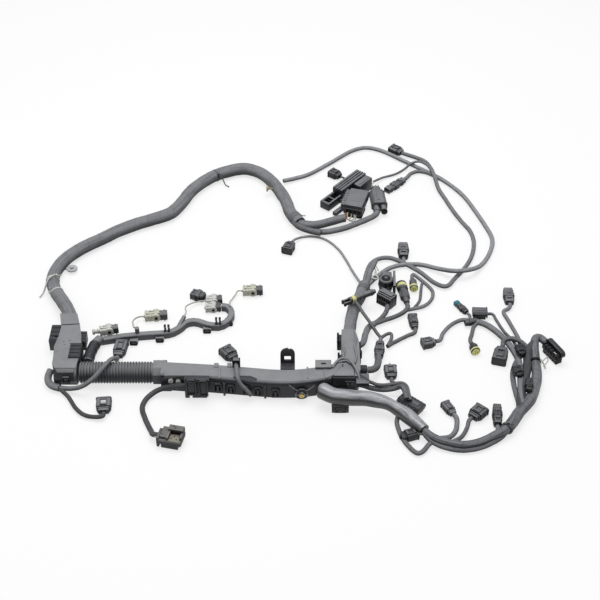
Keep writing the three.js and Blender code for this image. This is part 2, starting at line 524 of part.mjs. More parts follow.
// Trunk from the junction box round the back to the fuse holder and the twin boot.
const TRUNK = [
  [-259, 122.4, 16], [-259, 131, 16], [-266, 150, 15], [-280, 178, 12], [-295, 206, 10],
  [-300, 228, 10], [-298, 248, 10], [-287, 277, 10], [-269, 300, 10],
  [-233, 332, 10], [-197, 362, 10], [-163, 380, 10], [-136, 396, 10],
  [-120, 423, 10], [-106, 458, 10], [-84, 489, 10], [-59, 511, 10], [-22, 525, 10], [6, 514, 10],
  [30, 483, 10], [49, 440, 10], [60, 398, 10], [75, 370, 10],
];
const TRUNK_STRANDS = [
  { diameter: 14, points: [[63, 392, 9], [77, 370, 9], [98, 367, 8], [118, 374, 8], [136, 381, 9],
    [147, 385.5, 9]] },
  { diameter: 6, points: [[140, 383, 9], [147, 385.5, 9.6], [152.4, 389.7, 13.6], [153.9, 394.9, 14]] },
  { diameter: 9.5, points: [[62, 390, 6], [72, 367, 6], [91, 355, 6], [115, 352, 6], [131, 356, 6],
    [148, 363, 6], [167, 373.5, 7], [189, 386.5, 8.5], [198.6, 395.6, 9], [200.4, 403, 9],
    [199.4, 413.1, 9]] },
  { diameter: 10, points: [[61, 388, 8], [70, 366, 9], [88, 350, 10.6], [108, 343, 10.6]] },
];

// Centre loom: it rises from the junction and splits into the long loops to the right.
const CENTRE_TRUNK = [
  [145, 87.6, 15], [145.2, 98, 15], [147, 112, 13], [150, 136, 10], [156, 164, 10], [165, 187, 10],
  [173, 214, 10],
];
const CENTRE_BRANCHES = [
  { diameter: 7, points: [[47, 495, 6], [65, 503, 5], [89, 516, 4.4], [125, 549, 4.4], [166, 589, 4.4],
    [190, 599, 4.4], [214, 591, 4.4], [253, 558, 4.4], [288, 527, 4.4], [313, 503, 4.4], [334, 475, 4.4],
    [347, 451, 4.4], [361, 411, 4.4], [373, 370, 4.4], [380, 333, 4.4], [371, 297, 4.4], [355, 268, 5],
    [335, 247, 13], [311, 242, 14], [287, 257, 7], [261, 269, 5], [236, 269, 5], [214, 261, 5],
    [194, 240, 6], [174, 212, 7]] },
  { diameter: 6.8, points: [[269, 572, 4], [289, 556, 5], [297, 528, 10], [301, 496, 14], [306, 471, 7],
    [316, 442, 4], [326, 407, 5], [337, 380, 4], [347, 357, 4], [350, 328, 4], [343, 292, 4],
    [330, 264, 4], [313, 239, 4], [296, 216, 5], [281, 223, 5], [259, 251, 5], [239, 270, 5],
    [215, 286, 5], [198, 284, 5], [185, 272, 5], [177, 248, 5], [171, 210, 8]] },
  { diameter: 6.5, plug: "inline_plug", points: [[264, 520, 4], [276, 526, 4], [291, 522, 4],
    [312, 503, 4]] },
  { diameter: 4, points: [[199, 490, 8], [214, 507, 4], [238, 520, 3], [254, 534, 4], [266, 541, 11],
    [280, 544, 12], [297, 531, 10]] },
  { diameter: 4, plug: "knock_plug", points: [[78, 342, 3], [94, 344, 3], [115, 336, 3], [135, 311, 3],
    [147, 282, 3], [155, 256, 4], [169, 214, 8]] },
  { diameter: 6, plug: "upright_plug", points: [[236, 268, 5]] },
  { diameter: 7.5, points: [[172, 210, 8], [178, 224, 9], [182, 240, 14], [187, 254, 14], [192, 270, 12]] },
  { diameter: 7.5, plug: "cam_plug", points: [[269, 572, 4.5]] },
];

// Right loom: from the sleeve round the right side, with the branches of the right group.
const RIGHT_TRUNK = [
  [239.4, -92.5, 12], [245.8, -100.2, 11.8], [255, -106, 10], [267, -110, 8.5], [286, -115, 8.5],
  [308, -111, 8.5], [328, -100, 8.5], [344, -91, 9], [356, -78, 9], [371, -54, 9],
  [386, -35, 9], [396, -13, 9],
  [403, 12, 9], [406, 43, 9.5], [408, 67, 11], [411, 84, 13],
];
const RIGHT_BRANCHES = [
  { diameter: 13, plug: "control_plug", points: [[419, 92, 12], [413, 91, 13], [410, 78, 12]] },
  { diameter: 7, plug: "slim_plug", points: [[285, -71, 4], [281, -87, 4], [272, -98, 5], [257, -102, 7]] },
  { diameter: 6, plug: "flat_plug", points: [[298, -79, 4], [288, -98, 5], [275, -109, 7]] },
  { diameter: 6.5, points: [[176, -56, 3.6], [188, -61, 3.6], [199, -66, 3.6], [206, -76, 3.6],
    [208, -91, 3.6], [214, -107, 3.6], [223, -121, 3.6], [229, -126, 3.6], [237, -121, 4],
    [245, -110, 5], [256, -104, 7]] },
  { diameter: 12.5, points: [[372, -52, 10], [378, -16, 10], [388, 14, 9], [395, 43, 9], [398, 64, 10],
    [408, 78, 12]] },
  { diameter: 7.5, points: [[372, -46, 10], [370, 0, 7], [372, 25, 7], [380, 46, 8], [394, 63, 11],
    [407, 76, 12]] },
  { diameter: 9, points: [[374, -44, 12], [378, -6, 12], [382, 24, 10], [382, 55, 8], [373, 85, 7],
    [359, 112, 6], [344, 129, 5.5], [329, 135.5, 5]] },
  { diameter: 6, plug: "split_plug", points: [[282, 110, 4], [297, 130, 4], [314, 140, 4],
    [334, 134.5, 5]] },
  { diameter: 6, plug: "yellow_tip_plug", points: [[324, 109, 4], [329, 126, 4], [336, 133, 5]] },
  { diameter: 4.5, plug: "wide_plug", points: [[363, 139, 4], [371, 114, 4], [381, 91, 6], [386, 66, 9]] },
  { diameter: 4.5, plug: "teal_tip_plug", points: [[324.5, 143, 5], [331, 135, 5]] },
  { diameter: 6, plug: "stepped_plug", points: [[384, 165, 4], [376, 159, 4], [380, 140, 4], [386, 114, 5],
    [390, 91, 6], [385, 56, 9]] },
  { diameter: 7, plug: "cluster_plug", points: [[366, 86, 11], [376, 89, 13], [388, 84, 13],
    [400, 68, 12]] },
  { diameter: 6, plug: "trunk_side_plug", points: [[342, -92, 9]] },
];

// Smaller looms and leads, each a piece of its own.
const LOOMS = {
  lever_loom: [
    { diameter: 9, points: [[156.1, 75.1, 11.5], [161.5, 76.2, 11.5], [166, 84, 11], [169, 102, 9],
      [176, 123, 6], [184, 130, 5]] },
    { diameter: 7, plug: "lever_plug", points: [[200, 152, 5], [189, 136, 5], [178, 125, 6]] },
    { diameter: 7, plug: "ring_plug", points: [[230, 157, 6], [215, 146, 5], [197, 137, 5], [178, 125, 6]] },
    { diameter: 5.5, points: [[229, 158, 6], [244, 165, 4], [259, 171, 4], [271, 185, 4], [275, 204, 4],
      [268, 220, 4], [258, 233, 5], [251, 241, 6]] },
    { diameter: 5.5, plug: "yellow_plug", points: [[247, 243.5, 6.5], [251, 243, 6], [255, 237, 5]] },
    { diameter: 4.5, points: [[243, 165, 4], [253, 181, 5], [257, 204, 6], [259, 217, 6], [262, 227, 5]] },
  ],
  coupling_loom: [
    { diameter: 5, points: [[156.2, 155.7, 25.5], [158.8, 151.4, 25], [166, 139, 20],
      [175, 121, 18], [186, 104, 10], [191, 97, 8]] },
    { diameter: 6, plug: "coupling_plug", points: [[191, 97, 7]] },
    { diameter: 5, points: [[191, 96, 7], [198, 103, 7], [206, 107, 7], [207, 98, 6], [201, 83, 5]] },
    { diameter: 6, plug: "sensor_plug_rear", points: [[240, 110, 4], [234, 107, 4], [222, 99, 4],
      [207, 88, 4], [200, 81, 5]] },
  ],
  cap_lead: [
    { diameter: 10, points: [[186, 57.3, 7], [184.5, 41, 8.5], [180.5, 27, 13],
      [175.5, 20.3, 16], [169.1, 20.3, 16]] },
  ],
  sleeve_side_loom: [
    { diameter: 7.5, points: [[156.4, -2.1, 9], [162, -3.7, 9], [173, -8, 8], [190, -11, 8], [206, -12, 12],
      [214, -16, 19.2], [218, -28, 19.1], [219, -41, 19.1]] },
    { diameter: 5, points: [[157.3, 0.9, 16], [163, -0.7, 16], [172, -4, 15.5], [183, -9, 15], [200, -8, 15],
      [214, -6, 16], [220.5, -14, 18], [222.5, -28, 17.9], [224, -42, 17.9]] },
    { diameter: 6, plug: "tipped_plug", points: [[206, 2, 7], [212, -4, 12], [218, -9, 16]] },
  ],
  box_lead: [
    { diameter: 10, points: [[-272, 24, 12], [-275, 12, 8], [-270, 1, 6], [-256, -6, 6]] },
    { diameter: 6, plug: "open_plug", points: [[-206, -59, 4], [-217, -55, 4], [-229, -43, 4],
      [-243, -20, 4], [-258, -5, 6]] },
    { diameter: 6.5, plug: "conduit_side_plug", points: [[-182, 38, 21], [-186, 20, 35], [-194, 4, 35.5],
      [-208, -10, 27], [-226, -11, 13], [-243, -8, 7], [-258, -5, 6]] },
  ],
  main_lead: [
    { diameter: 7.5, plug: "main_plug", points: [[-122, -88, 5], [-133, -63, 4], [-139, -41, 4],
      [-134, -24, 4.5], [-121, -13, 8], [-106, -12, 14], [-90, -12.4, 17], [-82.4, -12.4, 17]] },
  ],
  duct_side_lead: [
    { diameter: 6, plug: "duct_side_plug", points: [[-15, 38, 17], [-13, 12, 36], [-11, -4, 37.5],
      [-9, -17.5, 35.5], [-5, -21, 27], [2, -22, 18], [8, -23, 9]] },
  ],
  coil_wire_1: [
    { diameter: 2.5, plug: "coil_plug_2", points: [[-165, 138, 9], [-168, 125, 14], [-166, 113, 18],
      [-163.5, 106, 18.5]] },
  ],
  coil_wire_2: [
    { diameter: 2.5, plug: "coil_plug_6", points: [[-21, 199, 5], [-27, 186, 4], [-29, 174, 10],
      [-28.7, 168, 13], [-28.5, 161, 12.8]] },
  ],
  relay_side_lead: [
    { diameter: 3.5, plug: "relay_side_plug", points: [[152.3, 497.2, 7], [157, 493, 7],
      [160.1, 490.5, 7]] },
  ],
};

// A branch that ends at a plug starts with the two points that run square into its rear.
function branchTube({ diameter, plug, points }) {
  const ends = plug ? [...into(plug)].reverse() : [];
  return tube([...ends, ...points], diameter);
}

function looms() {
  add("back_loom", joined([tube(TRUNK, 20, 1.5), ...TRUNK_STRANDS.map(branchTube)]), FINISH.loom);
  add("centre_loom", joined([tube(CENTRE_TRUNK, 18, 1), ...CENTRE_BRANCHES.map(branchTube)]), FINISH.loom);
  add("right_loom", joined([tube(RIGHT_TRUNK, 16, 1), ...RIGHT_BRANCHES.map(branchTube)]), FINISH.loom);
  for (const [name, branches] of Object.entries(LOOMS)) {
    const finish = name.startsWith("coil_wire") ? FINISH.wire : FINISH.lead;
    add(name, joined(branches.map(branchTube)), finish);
  }
}

junctionBox();
conduit();
mainDuct();
bracket();
springClip();
teeJunction();
sleeve();
coilRail();
plugs();
fuseHolder();
relay();
twinBoot();
looms();

export default group;
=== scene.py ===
"""Looks of a vehicle wiring harness that lies on a white floor: ducts, taped looms and their plugs.

Lengths in the tables are millimetres in the frame of the CAD model: +X to the right, +Y to the back, +Z up.
"""

from __future__ import annotations

import logging
import math
from dataclasses import dataclass, field
from enum import Enum
from typing import Callable, Iterable, Sequence

import bmesh
import bpy
from mathutils import Matrix, Vector, noise

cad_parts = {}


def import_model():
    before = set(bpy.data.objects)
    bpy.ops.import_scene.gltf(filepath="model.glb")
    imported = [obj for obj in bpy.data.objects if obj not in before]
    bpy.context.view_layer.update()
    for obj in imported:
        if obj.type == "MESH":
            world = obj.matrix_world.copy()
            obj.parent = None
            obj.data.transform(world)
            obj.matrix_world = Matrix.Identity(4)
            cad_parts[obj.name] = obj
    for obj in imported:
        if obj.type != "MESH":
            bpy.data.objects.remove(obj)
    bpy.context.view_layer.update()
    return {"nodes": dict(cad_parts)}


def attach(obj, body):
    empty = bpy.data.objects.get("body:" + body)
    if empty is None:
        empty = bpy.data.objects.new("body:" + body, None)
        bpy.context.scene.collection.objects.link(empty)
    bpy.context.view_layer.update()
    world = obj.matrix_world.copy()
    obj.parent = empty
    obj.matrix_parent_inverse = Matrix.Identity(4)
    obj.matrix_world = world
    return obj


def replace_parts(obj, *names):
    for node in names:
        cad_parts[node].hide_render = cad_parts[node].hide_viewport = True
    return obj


LOG = logging.getLogger("harness")
MM = 0.001
BODY = "root"
PLUG_LEAD = 7.0  # how far from a plug's rear its cable already runs straight
TOUCH = 0.3  # gap between a cable's end and the plug that it goes into
ENTRY_RISE = 0.45  # height at which a cable enters a plug, as a share of the plug's height
EDGE_STEPS = 2  # faces across a rounded edge
EDGE_ANGLE = 32  # degrees above which an edge is rounded
CURVE_STEPS = 24  # steps between two given points of a curve

Point = tuple[float, float, float]
Span = tuple[float, float]
Outline = list[tuple[float, float]]


# The finishes of the harness.


def linear(code: str) -> tuple[float, float, float, float]:
    """Turns a colour as it looks on a screen into the renderer's own values.

    Args:
        code: Six hexadecimal digits.

    Returns:
        Red, green, blue and an alpha of 1.
    """
    parts = [int(code[i : i + 2], 16) / 255 for i in (0, 2, 4)]
    red, green, blue = [p / 12.92 if p <= 0.04045 else ((p + 0.055) / 1.055) ** 2.4 for p in parts]
    return red, green, blue, 1.0


class Nodes:
    """A material's node tree, with short calls that add nodes and join them."""

    def __init__(self, name: str) -> None:
        """Starts a material with an empty tree and its shader.

        Args:
            name: The material's name.
        """
        self.material = bpy.data.materials.new(name)
        self.material.use_nodes = True
        self.tree = self.material.node_tree
        self.tree.nodes.clear()
        output = self.tree.nodes.new("ShaderNodeOutputMaterial")
        self.shader = self.tree.nodes.new("ShaderNodeBsdfPrincipled")
        self.tree.links.new(self.shader.outputs[0], output.inputs["Surface"])

    def add(
        self, kind: str, inputs: dict[str | int, object] | None = None, **settings: object
    ) -> bpy.types.Node:
        """Adds a node.

        Args:
            kind: The node's type name.
            inputs: Input socket to a value or to another node's output.
            settings: Settings of the node itself.

        Returns:
            The new node.
        """
        node = self.tree.nodes.new(kind)
        for key, value in settings.items():
            setattr(node, key, value)
        for key, value in (inputs or {}).items():
            if isinstance(value, bpy.types.NodeSocket):
                self.tree.links.new(value, node.inputs[key])
            else:
                node.inputs[key].default_value = value
        return node

    def drive(self, socket: str, value: object) -> None:
        """Sets or links an input of the shader.

        Args:
            socket: The input's name.
            value: A plain value, or another node's output.
        """
        if isinstance(value, bpy.types.NodeSocket):
            self.tree.links.new(value, self.shader.inputs[socket])
        else:
            self.shader.inputs[socket].default_value = value

    def math(self, operation: str, first: object, second: object = 0.0) -> bpy.types.NodeSocket:
        """Adds a node that computes with two numbers, each a plain one or an output."""
        return self.add("ShaderNodeMath", {0: first, 1: second}, operation=operation).outputs[0]

    def blend(self, factor: object, first: object, second: object) -> bpy.types.NodeSocket:
        """Mixes two colours.

        Args:
            factor: 0 gives the first colour and 1 the second.
            first: A colour or an output.
            second: A colour or an output.

        Returns:
            The mixed colour's socket.
        """
        node = self.add("ShaderNodeMix", data_type="RGBA")
        for socket, value in zip((node.inputs[0], node.inputs[6], node.inputs[7]), (factor, first, second)):
            if isinstance(value, bpy.types.NodeSocket):
                self.tree.links.new(value, socket)
            else:
                socket.default_value = value
        return node.outputs[2]

    def spots(self, scale: float, detail: float = 2.0) -> bpy.types.NodeSocket:
        """Adds cloudy noise in the object's space: spots to the metre and finer layers on them."""
        place = self.add("ShaderNodeTexCoord").outputs["Object"]
        return self.add("ShaderNodeTexNoise", {"Vector": place, "Scale": scale, "Detail": detail}).outputs[0]

    def facing_up(self, low: float, high: float) -> bpy.types.NodeSocket:
        """Tells how much the surface looks up, which the finishes use as the mask of their painted top light.

        Args:
            low: The normal's height at which the result is 0.
            high: The normal's height at which the result is 1.

        Returns:
            The result's socket.
        """
        normal = self.add("ShaderNodeNewGeometry").outputs["Normal"]
        height = self.add("ShaderNodeSeparateXYZ", {0: normal}).outputs["Z"]
        inputs = {"Value": height, "From Min": low, "From Max": high}
        return self.add("ShaderNodeMapRange", inputs, interpolation_type="SMOOTHSTEP").outputs[0]

    def relief(self, height: bpy.types.NodeSocket, distance: float) -> None:
        """Raises the surface by a height pattern, up to a distance in metres."""
        bump = self.add("ShaderNodeBump", {"Height": height, "Distance": distance, "Strength": 1.0})
        self.drive("Normal", bump.outputs[0])


@dataclass(frozen=True)
class Plastic:
    """Moulded plastic with painted light: paler where it faces up, as painted top light on a dusty top,
    darker on its sides as painted shade, with a fine grain.

    Attributes:
        side: Its colour where it faces sideways or down, which is painted shade.
        top: Its colour where it faces up, dusty and under painted top light.
        roughness: Its middle roughness.
        grain: The height of its grain in metres.
        gloss: The strength of its sheen.
        low: The normal's height below which neither the dusty top nor painted top light shows.
        high: The normal's height above which all of the dusty top and its painted top light shows.
        thin_dust_and_light: The dusty top's share, with its painted top light, between the clouds.
        cloud_dust_and_light: The share of the dusty top, with its painted top light, that the clouds add.
    """

    side: str
    top: str
    roughness: float = 0.45
    grain: float = 0.00006
    gloss: float = 0.4
    low: float = 0.25
    high: float = 0.95
    thin_dust_and_light: float = 0.62
    cloud_dust_and_light: float = 0.7

    def make(self, name: str) -> bpy.types.Material:
        """Builds the material.

        Args:
            name: The material's name.

        Returns:
            The material.
        """
        nodes = Nodes(name)
        clouds = nodes.spots(70)
        # Painted top light: blends towards the top colour where the surface faces up, patchy with the clouds
        # as on a dusty top.
        dust_and_top_light = nodes.math(
            "MULTIPLY", nodes.facing_up(self.low, self.high),
            nodes.math("ADD", self.thin_dust_and_light, nodes.math("MULTIPLY", clouds, self.cloud_dust_and_light)),
        )
        nodes.drive("Base Color", nodes.blend(dust_and_top_light, linear(self.side), linear(self.top)))
        nodes.drive(
            "Roughness", nodes.math("ADD", self.roughness - 0.08, nodes.math("MULTIPLY", clouds, 0.2))
        )
        nodes.drive("Specular IOR Level", self.gloss)
        nodes.relief(nodes.spots(1500, 3), self.grain)
        return nodes.material


@dataclass(frozen=True)
class Tape:
    """Cloth tape wound round a cable, which overlaps itself at a steady pitch. Its colour holds painted
    light: lighter on top, painted shade on its sides and painted highlights along its folds.

    Attributes:
        side: Its colour where it faces sideways or down, which is painted shade.
        top: Its colour where it faces up, which is painted top light.
        seam: The colour of its edge.
        roughness: Its middle roughness.
        step: The height of its edge and folds in metres.
        edge: How much of the seam's colour shows.
        fold_highlights: How much painted highlight lies along its lengthwise folds.
        gloss: The strength of its sheen.
        low: The normal's height below which it has the side colour.
        high: The normal's height above which it has the top colour.
        overlap: The share of a wrap that counts as its edge.
        mean_shine: The share of the top colour that shows with plain folds.
        fold_pace: How fast the folds change along the cable, per wrap.
        fold_scale: How fast they change round it.
    """

    side: str
    top: str
    seam: str
    roughness: float = 0.55
    step: float = 0.00012
    edge: float = 0.14
    fold_highlights: float = 0.36
    gloss: float = 0.35
    low: float = -0.35
    high: float = 0.92
    overlap: float = 0.09
    mean_shine: float = 0.78
    fold_pace: float = 0.16
    fold_scale: float = 3.2

    def make(self, name: str) -> bpy.types.Material:
        """Builds the material. Its first map coordinate counts wraps, the second one goes once round.

        Args:
            name: The material's name.

        Returns:
            The material.
        """
        nodes = Nodes(name)
        place = nodes.add("ShaderNodeTexCoord").outputs["UV"]
        split = nodes.add("ShaderNodeSeparateXYZ", {0: place})
        spiral = nodes.math("ADD", split.outputs["X"], split.outputs["Y"])
        wrap = nodes.math("FRACT", spiral)
        seam = nodes.math("GREATER_THAN", wrap, 1 - self.overlap)
        number = nodes.math("FLOOR", spiral)
        shade = nodes.add("ShaderNodeTexWhiteNoise", {"W": number}, noise_dimensions="1D").outputs["Value"]
        clouds = nodes.spots(110, 3)
        turn = nodes.math("MULTIPLY", split.outputs["Y"], 2 * math.pi)
        along = nodes.math("MULTIPLY", split.outputs["X"], self.fold_pace)
        ring = {0: along, 1: nodes.math("COSINE", turn), 2: nodes.math("SINE", turn)}
        line = nodes.add("ShaderNodeCombineXYZ", ring).outputs[0]
        rough = {"Vector": line, "Scale": self.fold_scale, "Detail": 3.0}
        spread = {
            "Value": nodes.add("ShaderNodeTexNoise", rough).outputs[0], "From Min": 0.36, "From Max": 0.64
        }
        folds = nodes.add("ShaderNodeMapRange", spread).outputs[0]
        patches = nodes.math("ADD", nodes.math("MULTIPLY", shade, 0.1), nodes.math("MULTIPLY", clouds, 0.3))
        base = self.mean_shine - 0.5 * self.fold_highlights
        shine = nodes.math(
            "ADD", base, nodes.math("ADD", patches, nodes.math("MULTIPLY", folds, self.fold_highlights))
        )
        # Painted light: the top colour shows where the tape faces up, more of it along the folds as painted
        # highlights; the patches are random tone.
        light = nodes.math("MULTIPLY", nodes.facing_up(self.low, self.high), shine)
        lit_cloth = nodes.blend(light, linear(self.side), linear(self.top))
        nodes.drive(
            "Base Color", nodes.blend(nodes.math("MULTIPLY", seam, self.edge), lit_cloth, linear(self.seam))
        )
        nodes.drive(
            "Roughness", nodes.math("ADD", self.roughness - 0.1, nodes.math("MULTIPLY", clouds, 0.25))
        )
        nodes.drive("Specular IOR Level", self.gloss)
        weave = nodes.math("MULTIPLY", nodes.spots(2600, 2), 0.35)
        bumps = nodes.math("ADD", weave, nodes.math("MULTIPLY", folds, 1.6))
        nodes.relief(nodes.math("ADD", nodes.math("MULTIPLY", wrap, 0.8), bumps), self.step)
        return nodes.material


@dataclass(frozen=True)
class Metal:
    """Bent or pressed metal with light scratches.

    Attributes:
        colour: Its clean colour.
        worn: Its worn colour.
        roughness: Its middle roughness.
        metallic: How much it looks like bare metal.
        scratch: The depth of its scratches in metres.
    """

    colour: str
    worn: str
    roughness: float = 0.32
    metallic: float = 0.85
    scratch: float = 0.00003

    def make(self, name: str) -> bpy.types.Material:
        """Builds the material.

        Args:
            name: The material's name.

        Returns:
            The material.
        """
        nodes = Nodes(name)
        clouds = nodes.spots(400, 3)
        nodes.drive("Base Color", nodes.blend(clouds, linear(self.colour), linear(self.worn)))
        nodes.drive("Metallic", self.metallic)
        nodes.drive(
            "Roughness", nodes.math("ADD", self.roughness - 0.1, nodes.math("MULTIPLY", clouds, 0.25))
        )
        nodes.relief(nodes.spots(3000), self.scratch)
        return nodes.material


class Finish(Enum):
    """The finishes of the harness. The plastics and tapes have painted light in their colours: the side
    colour is painted shade, the top colour painted top light, and the tapes add painted highlights along
    their folds.
    """

    LOOM = Tape("2c2d30", "949599", "2a2b2e", fold_highlights=0.55)
    LEAD = Tape("1b1c1f", "7e7f83", "18191b", roughness=0.48, fold_highlights=0.6, gloss=0.45, low=-0.2)
    DIM_LEAD = Tape("151618", "5b5c60", "131416", roughness=0.5, fold_highlights=0.6, low=-0.2)
    BUNDLE = Tape(
        "111215", "86878c", "131416", roughness=0.4, step=0.0002, edge=0.25, fold_highlights=1.0, gloss=0.5, low=0.0
    )
    PALE_LOOM = Tape("38393d", "acadb1", "3a3b3e")
    COVER = Plastic("505155", "9c9da0", 0.5)
    TRAY = Plastic("2e2f33", "4a4b50", 0.4, gloss=0.35)
    CONDUIT = Plastic("38393c", "8b8c8f", 0.45)
    # Painted light: the sleeve's near-black side colour is painted shade, its pale top colour painted
    # highlight, with strong painted highlights along its folds.
    SLEEVE = Tape(
        "0c0d0f", "b6b7bc", "222326", roughness=0.25, step=0.0001, edge=0.0, fold_highlights=1.0, gloss=0.9, low=0.4
    )
    DARK = Plastic("151517", "4a4b4f", 0.36)
    BLACK = Plastic("1d1e20", "737478", 0.4)
    GREY = Plastic("303134", "8e8f93", 0.45)
    MID = Plastic("242528", "7f8085", 0.42)
    INNER = Plastic("0d0d0f", "2c2d2f", 0.5, gloss=0.2)
    PALE = Plastic("b9bab4", "e8e9e4", 0.4)
    LIME = Plastic("b4b5a4", "e2e3d3", 0.42)
    YELLOW = Plastic("e4e38e", "f4f4a8", 0.4)
    TEAL = Plastic("1c6673", "3d93a0", 0.4)
    BROWN = Plastic("7b4a2c", "9c6a44", 0.4)
    ORANGE = Plastic("b9692b", "d58a4a", 0.4)
    WIRE = Plastic("b4b5aa", "dcdcd2", 0.38)
    TIE = Plastic("bfc0bc", "e6e6e2", 0.4)
    CLEAR = Plastic("a9adaf", "d3d6d7", 0.25)
    BEIGE = Plastic("a99f86", "d2c9ae", 0.45)
    SAND = Plastic("75716a", "a19b8f", 0.6)
    DUSTY = Plastic("353536", "858381", 0.6)
    STEEL = Metal("8f8c82", "b9b5a8")
    WIRE_STEEL = Metal("5a5a5c", "8a8a8c", 0.4)
    BRASS = Metal("b59a55", "d9c27c")

    def material(self) -> bpy.types.Material:
        """Gives the finish's material, which is built on first use."""
        name = f"{self.name.lower()}_finish"
        return bpy.data.materials.get(name) or self.value.make(name)


SLOTS: dict[Finish, str] = {
    finish: slot
    for slot, finishes in {
        "loom": (Finish.LOOM, Finish.PALE_LOOM, Finish.BUNDLE),
        "lead": (Finish.LEAD, Finish.DIM_LEAD),
        "cover": (Finish.COVER,),
        "tray": (Finish.TRAY,),
        "conduit": (Finish.CONDUIT,),
        "sleeve": (Finish.SLEEVE,),
        "black_plug": (Finish.BLACK, Finish.DARK, Finish.MID),
        "grey_plug": (Finish.GREY, Finish.DUSTY, Finish.SAND),
        "pale_plug": (Finish.PALE, Finish.LIME),
        "yellow_plug": (Finish.YELLOW,),
        "wire": (Finish.WIRE, Finish.TIE),
        "spring": (Finish.WIRE_STEEL, Finish.STEEL, Finish.BRASS),
    }.items()
    for finish in finishes
}


# Lines, outlines and closed shapes.


def spline(points: Sequence[Point], spacing: float) -> list[Vector]:
    """Runs a smooth curve through given points, as the solids of the CAD model do.

    Args:
        points: The points, in order.
        spacing: The distance between two results.

    Returns:
        Evenly spaced points of the curve, both ends included.
    """
    given = [Vector(p) for p in points]
    if len(given) == 2:
        given.insert(1, (given[0] + given[1]) / 2)
    ends = [2 * given[0] - given[1], *given, 2 * given[-1] - given[-2]]
    dense: list[Vector] = []
    for a, b, c, d in zip(ends, ends[1:], ends[2:], ends[3:]):
        t0, t1, t2 = ((q - p).length ** 0.5 for p, q in ((a, b), (b, c), (c, d)))
        start = ((b - a) / t0 - (c - a) / (t0 + t1) + (c - b) / t1) * t1
        stop = ((c - b) / t1 - (d - b) / (t1 + t2) + (d - c) / t2) * t1
        for i in range(CURVE_STEPS):
            t = i / CURVE_STEPS
            square = b + start * t + (3 * (c - b) - 2 * start - stop) * t**2
            dense.append(square + (2 * (b - c) + start + stop) * t**3)
    dense.append(given[-1])
    return evenly(dense, spacing)


def evenly(line: Sequence[Vector], spacing: float) -> list[Vector]:
    """Sets points at even distances along a line of many short steps.

    Args:
        line: The line.
        spacing: The wanted distance.

    Returns:
        The new points, both ends included.
    """
    reach = [0.0]
    for a, b in zip(line, line[1:]):
        reach.append(reach[-1] + (b - a).length)
    count = max(2, round(reach[-1] / spacing))
    result, i = [], 0
    for k in range(count + 1):
        want = reach[-1] * k / count
        while i < len(line) - 2 and reach[i + 1] < want:
            i += 1
        span = max(reach[i + 1] - reach[i], 1e-9)
        result.append(line[i].lerp(line[i + 1], min(1.0, (want - reach[i]) / span)))
    return result


def eased(line: list[Vector], rounds: int) -> list[Vector]:
    """Takes small kinks out of a line and keeps its ends and the steps next to them.

    Args:
        line: The line.
        rounds: How many times each point moves towards its neighbours.

    Returns:
        The smoother line.
    """
    for _ in range(rounds):
        inner = [(a + 2 * b + c) / 4 for a, b, c in zip(line[1:], line[2:-2], line[3:])]
        line = [*line[:2], *inner, *line[-2:]]
    return line


def length_of(line: Sequence[Vector]) -> float:
    """Measures a line.

    Args:
        line: Its points.

    Returns:
        Its length.
    """
    return sum((b - a).length for a, b in zip(line, line[1:]))


def cut_rectangle(width: float, height: float, cut: float, base: float = 0.0) -> Outline:
    """Gives a rectangle with cut corners, centred across and standing on a height.

    Args:
        width: Its full width.
        height: Its full height.
        cut: The size of the cut corners.
        base: The height of its lower edge.

    Returns:
        Eight corners.
    """
    side, top = width / 2, base + height
    cut = min(cut, 0.45 * width, 0.45 * height)
    return [
        (cut - side, base), (side - cut, base), (side, base + cut), (side, top - cut),
        (side - cut, top), (cut - side, top), (-side, top - cut), (-side, base + cut),
    ]  # fmt: skip


def round_outline(radius: float, across: float, up: float, sides: int) -> Outline:
    """Gives a circle's corners.

    Args:
        radius: Its radius.
        across: Its centre across.
        up: Its centre's height.
        sides: The number of corners.

    Returns:
        The corners.
    """
    turns = [2 * math.pi * i / sides for i in range(sides)]
    return [(across + radius * math.cos(t), up + radius * math.sin(t)) for t in turns]


